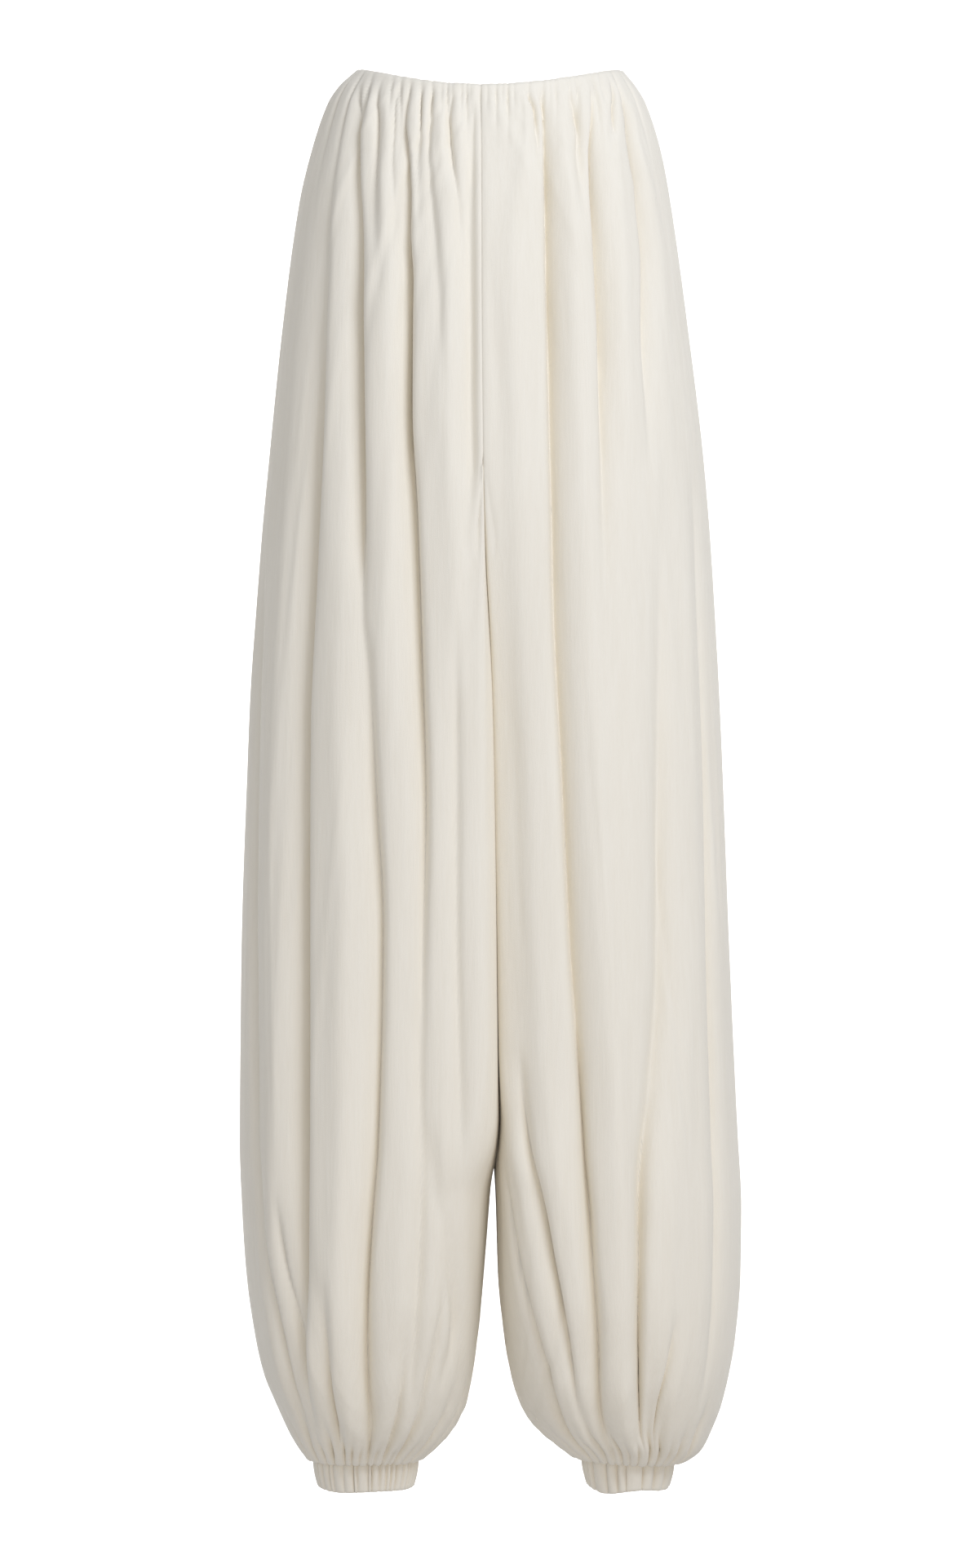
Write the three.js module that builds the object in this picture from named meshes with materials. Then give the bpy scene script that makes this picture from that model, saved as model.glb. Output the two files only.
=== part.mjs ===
// Wide-leg balloon trousers in soft ivory cloth, hollow as when they are worn.
// Millimetres, +Z up, the front faces -Y, and +X is the wearer's left side.
// The origin is the centre of the waist, level with the waist edge at the two sides.
// Each half is cut as a front and a back panel, gathered into the waist and into an ankle cuff.
import * as THREE from "three";

// Cloth and sewing.
const CLOTH = 1.7; // wall of a leg panel
const SEAM_GAP = 0.3; // between two sewn pieces
const FRONT_DIP = 21; // the waist edge is this much lower at the centre front
const DIP_FADES_BY = 230; // below this drop the rows are level

// Rise: the seam that joins the two halves, from the front waist under the body to the back waist.
const RISE_CURVES_AT = 310; // drop where the seam leaves the front and back
const CROTCH_DROP = 380; // drop of its lowest point, where four panels meet
const RISE_STEPS = 9; // turns of 10 degrees along its curve under the body

// A section bows like a superellipse. The inner half is boxier, by the column box of PROFILE.
const OUTER_POWER = 2.15;

// Casing at the waist and cuffs at the ankles.
const CASING = { height: 32, wall: 2.6, columns: 72, inset: 5.8 };
const CUFF = { height: 27, wall: 2.4, pleats: 24, columns: 3, pleatDepth: 1.1, bulge: 1.2 };

// Gathers: count in each panel, height of a ridge, and how far the shortest and longest run.
const WAIST_GATHERS = { count: 16, ridge: 3.0, sink: 1.7, shortest: 34, longest: 150, seed: 3 };
const ANKLE_GATHERS = { count: 15, ridge: 4.2, sink: 1.2, shortest: 22, longest: 80, seed: 11 };

// Front and back of the garment seen from the side, and the centre seam's place.
// drop: distance down the cloth, z: height, front and back: y, turn: share of the leg's width
// at which the front rounds over to the inner side, mid: x of the centre seam, box: power of
// the inner half.
const PROFILE = [
  { drop: 0, z: 0, front: -88, back: 82, turn: 0, mid: -6.5, box: 3.2 },
  { drop: 12, z: -12, front: -93, back: 92, turn: 0, mid: -6.5, box: 3.2 },
  { drop: 45, z: -45, front: -102, back: 106, turn: 0, mid: -6.5, box: 3.2 },
  { drop: 105, z: -105, front: -112, back: 121, turn: 0, mid: -6.3, box: 3.2 },
  { drop: 200, z: -200, front: -119, back: 133, turn: 0, mid: -6, box: 3.2 },
  { drop: 310, z: -310, front: -121, back: 135, turn: 0, mid: -5, box: 3.6 },
  { drop: 380, z: -380, front: -120, back: 133, turn: 0.04, mid: -3.8, box: 4.2 },
  { drop: 520, z: -520, front: -118, back: 130, turn: 0.12, mid: -1.2, box: 4.4 },
  { drop: 700, z: -700, front: -118, back: 128, turn: 0.24, mid: 1.2, box: 4.2 },
  { drop: 880, z: -880, front: -117, back: 126, turn: 0.36, mid: 2.6, box: 3.7 },
  { drop: 980, z: -980, front: -111, back: 119, turn: 0.44, mid: 2.6, box: 3.2 },
  { drop: 1045, z: -1045, front: -98, back: 106, turn: 0.5, mid: 2.6, box: 2.7 },
  { drop: 1085, z: -1084, front: -81, back: 89, turn: 0.5, mid: 2.6, box: 2.35 },
  { drop: 1108, z: -1106, front: -64, back: 72, turn: 0.5, mid: 2.6, box: 2.2 },
  { drop: 1120, z: -1117, front: -51, back: 59, turn: 0.5, mid: 2.6, box: 2.15 },
  { drop: 1126, z: -1119, front: -46, back: 54, turn: 0.5, mid: 2.6, box: 2.15 },
  { drop: 1132, z: -1114, front: -43.4, back: 51.4, turn: 0.5, mid: 2.6, box: 2.15 },
];

// Outlines of the two legs seen from the front. out: distance of the side from x = 0,
// part: distance of the inner side from the centre seam.
const LEGS = {
  right: {
    side: -1,
    outline: [
      { drop: 0, out: 107, part: 0.15 },
      { drop: 12, out: 121, part: 0.15 },
      { drop: 25, out: 130, part: 0.15 },
      { drop: 65, out: 144, part: 0.15 },
      { drop: 105, out: 153.5, part: 0.15 },
      { drop: 205, out: 167, part: 0.15 },
      { drop: 310, out: 177.5, part: 0.15 },
      { drop: 380, out: 184, part: 0.15 },
      { drop: 520, out: 193.5, part: 0.8 },
      { drop: 730, out: 200.5, part: 1.2 },
      { drop: 860, out: 201.3, part: 1.4 },
      { drop: 915, out: 199.3, part: 3.6 },
      { drop: 970, out: 195.5, part: 8.6 },
      { drop: 1022, out: 188, part: 13 },
      { drop: 1050, out: 181.5, part: 16.6 },
      { drop: 1075, out: 171.5, part: 22 },
      { drop: 1095, out: 162.5, part: 32.5 },
      { drop: 1110, out: 154, part: 45 },
      { drop: 1120, out: 148, part: 54.5 },
      { drop: 1126, out: 145.6, part: 58 },
      { drop: 1132, out: 143.6, part: 59.2 },
    ],
    tilt: 0,
    cuffX: -100,
    cuffTop: 43,
    cuffFoot: 39.5,
  },
  left: {
    side: 1,
    outline: [
      { drop: 0, out: 107, part: 0.15 },
      { drop: 12, out: 117.5, part: 0.15 },
      { drop: 25, out: 125.5, part: 0.15 },
      { drop: 65, out: 138.5, part: 0.15 },
      { drop: 105, out: 146, part: 0.15 },
      { drop: 205, out: 160, part: 0.15 },
      { drop: 310, out: 172.5, part: 0.15 },
      { drop: 380, out: 178, part: 0.15 },
      { drop: 520, out: 185.5, part: 0.8 },
      { drop: 730, out: 194.5, part: 1.2 },
      { drop: 860, out: 200.5, part: 1.6 },
      { drop: 915, out: 203.2, part: 2.6 },
      { drop: 970, out: 202.5, part: 5.2 },
      { drop: 1022, out: 198, part: 10.4 },
      { drop: 1050, out: 193, part: 14.6 },
      { drop: 1075, out: 186.5, part: 21.5 },
      { drop: 1095, out: 178, part: 33 },
      { drop: 1110, out: 170, part: 50 },
      { drop: 1120, out: 160, part: 62 },
      { drop: 1126, out: 154, part: 67.4 },
      { drop: 1132, out: 150.5, part: 70.9 },
    ],
    tilt: -0.05,
    cuffX: 112,
    cuffTop: 38,
    cuffFoot: 34,
  },
};

// Waves of the inner sides where the legs press together.
const PRESS = { sway: 5, reach: 45, from: 380, to: 960, fade: 90, length: 200 };

// Long folds of each panel. path: places down the cloth as [drop, share of the panel's width
// seen from the front, 0 at the centre and 1 at the side, depth]; wide: width of the trough.
const FOLDS = {
  right_front: [
    { wide: 9, path: [[0, 0, 0], [60, 0, 5], [190, 0, 10], [310, 0, 12], [376, 0, 0]] },
    {
      wide: 10,
      path: [
        [30, 0.75, 0], [75, 0.69, 7], [130, 0.62, 12], [245, 0.57, 13], [370, 0.54, 11], [440, 0.527, 4],
        [480, 0.497, 5], [580, 0.46, 9], [690, 0.425, 11], [840, 0.44, 12], [960, 0.465, 14],
        [1040, 0.48, 11], [1085, 0.495, 6], [1122, 0.5, 0],
      ],
    },
    {
      wide: 10,
      path: [
        [40, 0.39, 0], [90, 0.365, 8], [160, 0.35, 12], [285, 0.33, 13], [360, 0.3, 12], [460, 0.272, 12],
        [590, 0.25, 11], [720, 0.265, 7], [850, 0.28, 0],
      ],
    },
    { wide: 6, path: [[30, 0.6, 0], [60, 0.57, 5], [105, 0.52, 6], [180, 0.485, 0]] },
    { wide: 6, path: [[80, 0.25, 0], [120, 0.243, 6], [205, 0.205, 5], [250, 0.19, 0]] },
    { wide: 7, path: [[140, 0.14, 0], [175, 0.13, 5], [215, 0.11, 4], [270, 0.1, 0]] },
    {
      wide: 11,
      path: [
        [200, 0.79, 0], [360, 0.757, 7], [515, 0.755, 12], [685, 0.737, 13], [840, 0.73, 13],
        [955, 0.745, 11], [1035, 0.79, 7], [1100, 0.82, 0],
      ],
    },
    { wide: 7, path: [[380, 0.975, 0], [530, 0.96, 6], [700, 0.94, 7], [850, 0.925, 6], [980, 0.92, 0]] },
    { wide: 9, path: [[840, 0.24, 0], [890, 0.21, 4], [940, 0.15, 4], [1000, 0.1, 5], [1060, 0.15, 0]] },
    { wide: 7, path: [[880, 0.84, 0], [930, 0.833, 5], [990, 0.822, 4], [1040, 0.82, 0]] },
    { wide: 7, path: [[960, 0.65, 0], [1020, 0.66, 6], [1075, 0.68, 8], [1122, 0.7, 0]] },
    { wide: 7, path: [[985, 0.31, 0], [1035, 0.32, 5], [1085, 0.35, 7], [1122, 0.36, 0]] },
  ],
  left_front: [
    { wide: 9, path: [[0, 0, 0], [60, 0, 5], [190, 0, 10], [310, 0, 12], [376, 0, 0]] },
    {
      wide: 10,
      path: [
        [20, 0.383, 0], [60, 0.36, 6], [100, 0.343, 11], [205, 0.322, 14], [320, 0.304, 14],
        [440, 0.293, 14], [555, 0.306, 15], [685, 0.32, 15], [800, 0.347, 14], [915, 0.375, 13],
        [1015, 0.398, 12], [1085, 0.395, 7], [1122, 0.4, 0],
      ],
    },
    { wide: 9, path: [[25, 0.66, 0], [70, 0.62, 7], [205, 0.55, 11], [285, 0.53, 8], [420, 0.5, 0]] },
    {
      wide: 8,
      path: [[50, 0.81, 0], [85, 0.803, 6], [110, 0.803, 9], [165, 0.79, 9], [225, 0.77, 6], [330, 0.74, 0]],
    },
    {
      wide: 12,
      path: [
        [400, 0.76, 0], [515, 0.74, 5], [605, 0.722, 8], [720, 0.7, 9], [840, 0.63, 10], [915, 0.587, 12],
        [1015, 0.58, 13], [1075, 0.597, 8], [1122, 0.61, 0],
      ],
    },
    { wide: 7, path: [[800, 0.11, 0], [880, 0.16, 8], [936, 0.21, 10], [1010, 0.265, 10], [1085, 0.29, 0]] },
    { wide: 6, path: [[900, 0.045, 0], [950, 0.07, 3], [1006, 0.125, 5], [1060, 0.17, 5], [1115, 0.19, 0]] },
    { wide: 7, path: [[990, 0.76, 0], [1050, 0.76, 6], [1090, 0.77, 7], [1122, 0.78, 0]] },
    { wide: 8, path: [[300, 0.93, 0], [520, 0.93, 5], [740, 0.91, 7], [960, 0.89, 5], [1080, 0.87, 0]] },
  ],
  right_back: [
    { wide: 10, path: [[0, 0, 0], [60, 0, 4], [190, 0, 8], [310, 0, 9], [376, 0, 0]] },
    {
      wide: 10,
      path: [
        [20, 0.33, 0], [105, 0.305, 9], [330, 0.275, 12], [550, 0.265, 13], [770, 0.25, 11],
        [1000, 0.31, 10], [1118, 0.35, 0],
      ],
    },
    { wide: 9, path: [[15, 0.6, 0], [90, 0.565, 9], [230, 0.52, 10], [390, 0.5, 7], [500, 0.49, 0]] },
    { wide: 7, path: [[30, 0.83, 0], [90, 0.8, 6], [210, 0.775, 8], [380, 0.75, 0]] },
    { wide: 11, path: [[460, 0.49, 0], [640, 0.485, 11], [830, 0.48, 12], [1000, 0.5, 11], [1120, 0.53, 0]] },
    { wide: 10, path: [[330, 0.79, 0], [490, 0.775, 8], [690, 0.745, 12], [930, 0.725, 10], [1120, 0.71, 0]] },
    { wide: 8, path: [[250, 0.94, 0], [460, 0.935, 6], [750, 0.915, 7], [1080, 0.905, 0]] },
    { wide: 8, path: [[890, 0.14, 0], [965, 0.155, 6], [1040, 0.18, 6], [1118, 0.21, 0]] },
  ],
  left_back: [
    { wide: 10, path: [[0, 0, 0], [60, 0, 4], [190, 0, 8], [310, 0, 9], [376, 0, 0]] },
    {
      wide: 10,
      path: [
        [15, 0.31, 0], [100, 0.29, 9], [340, 0.26, 13], [560, 0.25, 13], [760, 0.245, 11],
        [1000, 0.3, 10], [1120, 0.34, 0],
      ],
    },
    { wide: 9, path: [[20, 0.63, 0], [90, 0.59, 9], [240, 0.53, 11], [400, 0.51, 7], [520, 0.5, 0]] },
    { wide: 7, path: [[35, 0.85, 0], [90, 0.82, 6], [200, 0.79, 8], [390, 0.76, 0]] },
    { wide: 11, path: [[450, 0.47, 0], [620, 0.47, 11], [820, 0.47, 13], [1000, 0.49, 12], [1120, 0.52, 0]] },
    { wide: 10, path: [[320, 0.81, 0], [480, 0.79, 8], [700, 0.75, 12], [940, 0.73, 11], [1120, 0.72, 0]] },
    { wide: 8, path: [[260, 0.95, 0], [460, 0.94, 6], [760, 0.92, 8], [1080, 0.91, 0]] },
    { wide: 8, path: [[880, 0.12, 0], [960, 0.14, 6], [1040, 0.17, 7], [1118, 0.2, 0]] },
  ],
};
const FOLD_SPREAD = 1.4;

// Rows of a panel's wall. gathers: the columns follow that edge's gathers, spacing: distance
// between columns elsewhere. The row where the rise seam curves away goes on along the seam.
const ROWS = [
  { drop: 0, gathers: "waist" },
  { drop: 16, gathers: "waist" },
  { drop: 37, gathers: "waist" },
  { drop: 68, spacing: 6 },
  { drop: 112, spacing: 7.5 },
  { drop: 168, spacing: 9 },
  { drop: 235, spacing: 10.5 },
  { drop: RISE_CURVES_AT, spacing: 12, rise: true },
  { drop: 400, spacing: 12 },
  { drop: 460, spacing: 12.5 },
  { drop: 530, spacing: 13 },
  { drop: 605, spacing: 13 },
  { drop: 680, spacing: 13 },
  { drop: 755, spacing: 13 },
  { drop: 825, spacing: 13 },
  { drop: 890, spacing: 12.5 },
  { drop: 945, spacing: 12 },
  { drop: 990, spacing: 11.5 },
  { drop: 1028, spacing: 11 },
  { drop: 1056, gathers: "ankle" },
  { drop: 1079, gathers: "ankle" },
  { drop: 1098, gathers: "ankle" },
  { drop: 1112, gathers: "ankle" },
  { drop: 1123, gathers: "ankle" },
  { drop: 1132, gathers: "ankle" },
];
const INNER_SPACING = 1.4; // columns on a leg's inner side are this much further apart
const FOLD_HOLDS = 1.2; // a column follows each fold that is deeper than this
const COLUMNS_APART = 0.45; // share of the spacing that two such columns keep between them
const WAIST_COLUMNS = [0, 0.32, 0.68]; // of a gather: one in the valley and two on the ridge
const ANKLE_COLUMNS = [0, 0.5];

const COLOURS = { cloth: 0xeeeae0, cuff: 0xe8e1d6, casing: 0xe9e4d9 };
const cloth = new THREE.MeshStandardMaterial({ color: COLOURS.cloth, roughness: 0.75 });
const cuffCloth = new THREE.MeshStandardMaterial({ color: COLOURS.cuff, roughness: 0.78 });
const casingCloth = new THREE.MeshStandardMaterial({ color: COLOURS.casing, roughness: 0.8 });

const clamp = (value, low, high) => Math.min(high, Math.max(low, value));
const smooth = (share) => {
  const t = clamp(share, 0, 1);
  return t * t * (3 - 2 * t);
};

// A repeatable number from 0 to 1 for gather k.
function uneven(k, seed) {
  const wave = Math.sin(12.9898 * (k + 1) + 78.233 * seed) * 43758.5453;
  return wave - Math.floor(wave);
}

// Smooth curve through the points (x, y) that never overshoots them.
function curveThrough(xs, ys, x) {
  const last = xs.length - 1;
  const i = clamp(xs.findIndex((v) => v > x) - 1, 0, last - 1);
  const k = x >= xs[last] ? last - 1 : i;
  const slope = (j) => (ys[j + 1] - ys[j]) / (xs[j + 1] - xs[j]);
  const tangent = (j) => {
    if (j === 0) return slope(0);
    if (j === last) return slope(last - 1);
    const [before, after] = [slope(j - 1), slope(j)];
    return before * after <= 0 ? 0 : (2 * before * after) / (before + after);
  };
  const h = xs[k + 1] - xs[k];
  const t = clamp((x - xs[k]) / h, 0, 1);
  const [a, b] = [tangent(k) * h, tangent(k + 1) * h];
  const rise = ys[k + 1] - ys[k];
  return ys[k] + t * (a + t * (3 * rise - 2 * a - b + t * (a + b - 2 * rise)));
}

// One column of a table at a drop.
function column(table, name, drop) {
  return curveThrough(table.map((row) => row.drop), table.map((row) => row[name]), drop);
}

// Half-section of a leg at a drop, as points from the side seam over the front or back to the
// inseam, each with its distance along the cloth.
const SECTION_POINTS = 90;
const sections = new Map();
function sectionAt(leg, drop) {
  const key = `${leg.side} ${drop.toFixed(4)}`;
  if (sections.has(key)) return sections.get(key);
  const read = (name) => column(PROFILE, name, drop);
  const inX = read("mid") + leg.side * column(leg.outline, "part", drop);
  const outX = leg.side * column(leg.outline, "out", drop);
  const turnX = inX + (outX - inX) * read("turn");
  const [front, back] = [read("front"), read("back")];
  const centre = (front + back) / 2;
  const halves = { front: [], back: [] };
  for (const face of ["front", "back"]) {
    const reach = (face === "front" ? front : back) - centre;
    let along = 0;
    for (let i = 0; i <= 2 * SECTION_POINTS; i++) {
      const angle = (Math.PI / 2) * (i / SECTION_POINTS);
      const outer = i <= SECTION_POINTS;
      const power = 2 / (outer ? OUTER_POWER : read("box"));
      const width = (outer ? outX : inX) - turnX;
      const x = turnX + width * Math.abs(Math.cos(angle)) ** power;
      const y = centre + reach * Math.abs(Math.sin(angle)) ** power;
      const before = halves[face][i - 1];
      if (before) along += Math.hypot(x - before.x, y - before.y);
      halves[face].push({ x, y, along });
    }
  }
  const made = { drop, z: read("z"), mid: read("mid"), inX, outX, turnX, centre, front, back, halves };
  made.size = (Math.abs(outX - inX) + back - front) / 4;
  sections.set(key, made);
  return made;
}

// Distance along a half-section for a place: 0 side seam, 1 front or back edge, 2 inseam.
function alongAt(section, face, place) {
  const half = section.halves[face];
  const toEdge = half[SECTION_POINTS].along;
  const whole = half[2 * SECTION_POINTS].along;
  return place <= 1 ? place * toEdge : toEdge + (place - 1) * (whole - toEdge);
}

// The place, from 0 to 2, for a distance along a half-section.
function placeAt(section, face, along) {
  const half = section.halves[face];
  const toEdge = half[SECTION_POINTS].along;
  const whole = half[2 * SECTION_POINTS].along;
  return along <= toEdge ? along / toEdge : 1 + (along - toEdge) / Math.max(whole - toEdge, 1e-6);
}

// Where the legs press together their inner sides wave from front to back, both alike.
function pressWave(drop, x, y, mid) {
  const near = Math.exp(-(((x - mid) / PRESS.reach) ** 2));
  const down = smooth((drop - PRESS.from) / PRESS.fade) * smooth((PRESS.to - drop) / PRESS.fade);
  return PRESS.sway * near * down * Math.sin((y / PRESS.length) * 2 * Math.PI);
}

// Point and outward direction on a half-section at a distance along it.
function onSection(section, face, along) {
  const half = section.halves[face];
  let i = half.findIndex((p) => p.along >= along);
  i = clamp(i < 0 ? half.length - 1 : i, 1, half.length - 1);
  const [p, q] = [half[i - 1], half[i]];
  const t = clamp((along - p.along) / Math.max(q.along - p.along, 1e-9), 0, 1);
  const inner = along > half[SECTION_POINTS].along + 1e-6;
  const [first, final] = inner ? [SECTION_POINTS, half.length - 1] : [0, SECTION_POINTS];
  const [before, after] = [half[Math.max(i - 2, first)], half[Math.min(i + 1, final)]];
  let [nx, ny] = [after.y - before.y, before.x - after.x];
  const length = Math.hypot(nx, ny) || 1;
  const turn = Math.sign(section.outX - section.inX) * (face === "front" ? 1 : -1);
  [nx, ny] = [(-turn * nx) / length, (-turn * ny) / length];
  return { x: p.x + (q.x - p.x) * t, y: p.y + (q.y - p.y) * t, nx, ny };
}

// Distance along the front or back for a share of the width seen from the front.
function alongOfShare(section, face, share) {
  const x = section.inX + (section.outX - section.inX) * share;
  const half = section.halves[face];
  const side = Math.sign(section.outX - section.inX);
  const i = clamp(half.findIndex((p) => side * p.x <= side * x), 1, half.length - 1);
  const [p, q] = [half[i - 1], half[i]];
  const t = Math.abs(q.x - p.x) < 1e-9 ? 0 : clamp((x - p.x) / (q.x - p.x), 0, 1);
  return share <= 0 && section.drop < CROTCH_DROP
    ? half[SECTION_POINTS].along
    : p.along + (q.along - p.along) * t;
}

// Depth of one fold at a drop.
function foldDepth(fold, drop) {
  if (drop <= fold.path[0][0] || drop >= fold.path.at(-1)[0]) return 0;
  const depth = curveThrough(fold.path.map((p) => p[0]), fold.path.map((p) => p[2]), drop);
  return depth * smooth(drop / (2 * CASING.height));
}

// Where the folds of a half lie on its section, as signed distances from the side seam.
function foldsOn(legName, section) {
  const found = [];
  for (const face of ["front", "back"]) {
    for (const fold of FOLDS[`${legName}_${face}`]) {
      const depth = foldDepth(fold, section.drop);
      if (depth === 0) continue;
      const share = curveThrough(fold.path.map((p) => p[0]), fold.path.map((p) => p[1]), section.drop);
      const along = alongOfShare(section, face, share);
      found.push({ fold, at: face === "front" ? along : -along, depth, wide: fold.wide, face, along });
    }
  }
  return found;
}

// Where gather k starts, as a share of the panel's width.
function valley(gathers, k) {
  if (k <= 0 || k >= gathers.count) return clamp(k / gathers.count, 0, 1);
  return (k + 0.5 * (uneven(k, gathers.seed) - 0.5)) / gathers.count;
}

// Ridge height of the gathers at a share of the panel's width, at a distance from the sewn edge.
function gatherRise(gathers, share, distance, panelSeed) {
  if (distance > 2.2 * gathers.longest) return 0;
  let k = 0;
  while (k < gathers.count - 1 && valley(gathers, k + 1) <= share) k++;
  const [from, to] = [valley(gathers, k), valley(gathers, k + 1)];
  const t = clamp((share - from) / (to - from), 0, 1);
  const spread = uneven(k, gathers.seed + panelSeed);
  const runs = gathers.shortest + (gathers.longest - gathers.shortest) * spread ** 2;
  const tall = 0.7 + 0.5 * uneven(k, gathers.seed + panelSeed + 5);
  const fade = Math.exp(-((distance / runs) ** 1.6));
  const sinkFade = Math.exp(-((distance / gathers.shortest / 1.6) ** 1.6));
  return gathers.ridge * tall * fade * Math.sin(Math.PI * t) ** 0.9 - gathers.sink * sinkFade;
}

const HEM_ROLL = 13; // the cloth rolls under over this length before it meets the cuff
const PANEL_SEEDS = { right_front: 1, left_front: 2, right_back: 3, left_back: 4 };
const LAST_DROP = PROFILE.at(-1).drop;

// How far the cloth stands out from its section at a place: troughs of the folds and ridges
// of the gathers.
function reliefAt(legName, face, section, place) {
  if (place > 1 && section.drop <= CROTCH_DROP) return 0;
  const along = alongAt(section, face, place);
  const at = face === "front" ? along : -along;
  const ends = ["front", "back"].map((f) => alongAt(section, f, 2));
  const girth = section.drop >= CROTCH_DROP ? ends[0] + ends[1] : Infinity;
  let relief = 0;
  for (const fold of foldsOn(legName, section)) {
    const straight = Math.abs(at - fold.at);
    const away = Math.min(straight, girth - straight) / (FOLD_SPREAD * fold.wide);
    relief -= fold.depth / (1 + away * away) ** 2;
  }
  const seed = PANEL_SEEDS[`${legName}_${face}`];
  if (section.drop < CROTCH_DROP) {
    relief += gatherRise(WAIST_GATHERS, clamp(place, 0, 1), section.drop, seed);
  } else {
    const above = LAST_DROP - section.drop;
    const puff = smooth(above / HEM_ROLL);
    relief += puff * gatherRise(ANKLE_GATHERS, place / 2, Math.max(above - HEM_ROLL, 0), seed);
  }
  return relief;
}

// Lift or dip of a row at x: the front waist dips, and a tilted hem follows its cuff.
function levelShift(leg, face, section, x) {
  const share = clamp((x - section.inX) / (section.outX - section.inX), 0, 1);
  const dip = face === "front" ? FRONT_DIP * (1 - share * share) : 0;
  const atHem = smooth((section.drop - 1000) / (LAST_DROP - 1000));
  return -dip * (1 - smooth(section.drop / DIP_FADES_BY)) + leg.tilt * (x - leg.cuffX) * atHem;
}

// Outside point of the cloth.
function clothPoint(legName, face, place, drop) {
  const leg = LEGS[legName];
  const section = sectionAt(leg, drop);
  const base = onSection(section, face, alongAt(section, face, place));
  const relief = reliefAt(legName, face, section, place);
  const step = 2;
  const [above, below] = [Math.max(drop - step, 0), Math.min(drop + step, LAST_DROP)];
  const [a, b] = [sectionAt(leg, above), sectionAt(leg, below)];
  const slope = Math.atan2(b.size - a.size, a.z - b.z);
  return new THREE.Vector3(
    base.x + base.nx * relief * Math.cos(slope) + pressWave(drop, base.x, base.y, section.mid),
    base.y + base.ny * relief * Math.cos(slope),
    section.z + relief * Math.sin(slope) + levelShift(leg, face, section, base.x),
  );
}

// Outward direction of the cloth at a place, from its neighbours.
function clothNormal(legName, face, place, drop, lastPlace) {
  const [p, d] = [0.012, 1.5];
  const from = clamp(place - p, 0, lastPlace);
  const to = clamp(place + p, 0, lastPlace);
  const [above, below] = [Math.max(drop - d, 0), Math.min(drop + d, LAST_DROP)];
  const across = clothPoint(legName, face, to, drop).sub(clothPoint(legName, face, from, drop));
  const down = clothPoint(legName, face, place, below).sub(clothPoint(legName, face, place, above));
  const normal = across.cross(down).normalize();
  const turn = LEGS[legName].side * (face === "front" ? 1 : -1);
  return normal.multiplyScalar(turn);
}

// Columns of a gathered row, with the nearest one moved onto each fold.
function gatheredColumns(row, held) {
  const [gathers, spots, last] =
    row.gathers === "waist" ? [WAIST_GATHERS, WAIST_COLUMNS, 1] : [ANKLE_GATHERS, ANKLE_COLUMNS, 2];
  const places = [];
  for (let k = 0; k < gathers.count; k++) {
    const [from, to] = [valley(gathers, k), valley(gathers, k + 1)];
    for (const spot of spots) places.push(last * (from + (to - from) * spot));
  }
  places.push(last);
  const anchors = new Map();
  const moved = new Set([0, places.length - 1]);
  for (const { fold, place } of held) {
    let best = -1;
    places.forEach((p, i) => {
      const nearer = best < 0 || Math.abs(p - place) < Math.abs(places[best] - place);
      if (!moved.has(i) && nearer) best = i;
    });
    const fits = best > 0 && places[best - 1] < place - 0.01 && places[best + 1] > place + 0.01;
    if (!fits) continue;
    places[best] = place;
    moved.add(best);
    anchors.set(fold, place);
  }
  return { places, anchors };
}

// Columns of a plain row: one on each fold, and the rest evenly between them.
function plainColumns(section, face, row, held) {
  const last = row.drop >= CROTCH_DROP ? 2 : 1;
  const apart = (a, b) => Math.abs(alongAt(section, face, a) - alongAt(section, face, b));
  const fixed = [0, last];
  const anchors = new Map();
  for (const { fold, place } of held) {
    if (fixed.some((p) => apart(p, place) < COLUMNS_APART * row.spacing)) continue;
    fixed.push(place);
    anchors.set(fold, place);
  }
  fixed.sort((a, b) => a - b);
  const places = [0];
  for (let i = 0; i + 1 < fixed.length; i++) {
    const [from, to] = [fixed[i], fixed[i + 1]].map((place) => alongAt(section, face, place));
    const spacing = row.spacing * (fixed[i + 1] > 1.3 ? INNER_SPACING : 1);
    const steps = Math.max(1, Math.round((to - from) / spacing));
    for (let k = 1; k <= steps; k++) places.push(placeAt(section, face, from + ((to - from) * k) / steps));
  }
  return { places, anchors };
}

// Columns of a row, as { place, drop } spots, and the places of the folds that have a column.
function columnsOf(legName, face, row) {
  const section = sectionAt(LEGS[legName], row.drop);
  const held = foldsOn(legName, section)
    .filter((found) => found.face === face && found.depth > FOLD_HOLDS)
    .sort((a, b) => b.depth - a.depth)
    .map((found) => ({ fold: found.fold, place: placeAt(section, face, found.along) }))
    .filter(({ place }) => place > 0 && place < (row.drop >= CROTCH_DROP ? 2 : 1));
  const made = row.gathers ? gatheredColumns(row, held) : plainColumns(section, face, row, held);
  const whole = alongAt(section, face, 2);
  const shareOf = (place) => (2 * alongAt(section, face, place)) / whole;
  const spots = made.places.map((place) => ({ place, share: shareOf(place), drop: row.drop }));
  const shares = new Map([...made.anchors].map(([fold, place]) => [fold, shareOf(place)]));
  const main = spots.length;
  const deep = CROTCH_DROP - RISE_CURVES_AT;
  for (let i = 2; row.rise && i <= RISE_STEPS; i++) {
    const angle = ((Math.PI / 2) * i) / RISE_STEPS;
    const place = 2 - Math.cos(angle);
    spots.push({ place, share: place, drop: RISE_CURVES_AT + deep * Math.sin(angle) });
  }
  return { spots, main, anchors: { place: made.anchors, share: shares }, gathers: row.gathers };
}

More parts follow.
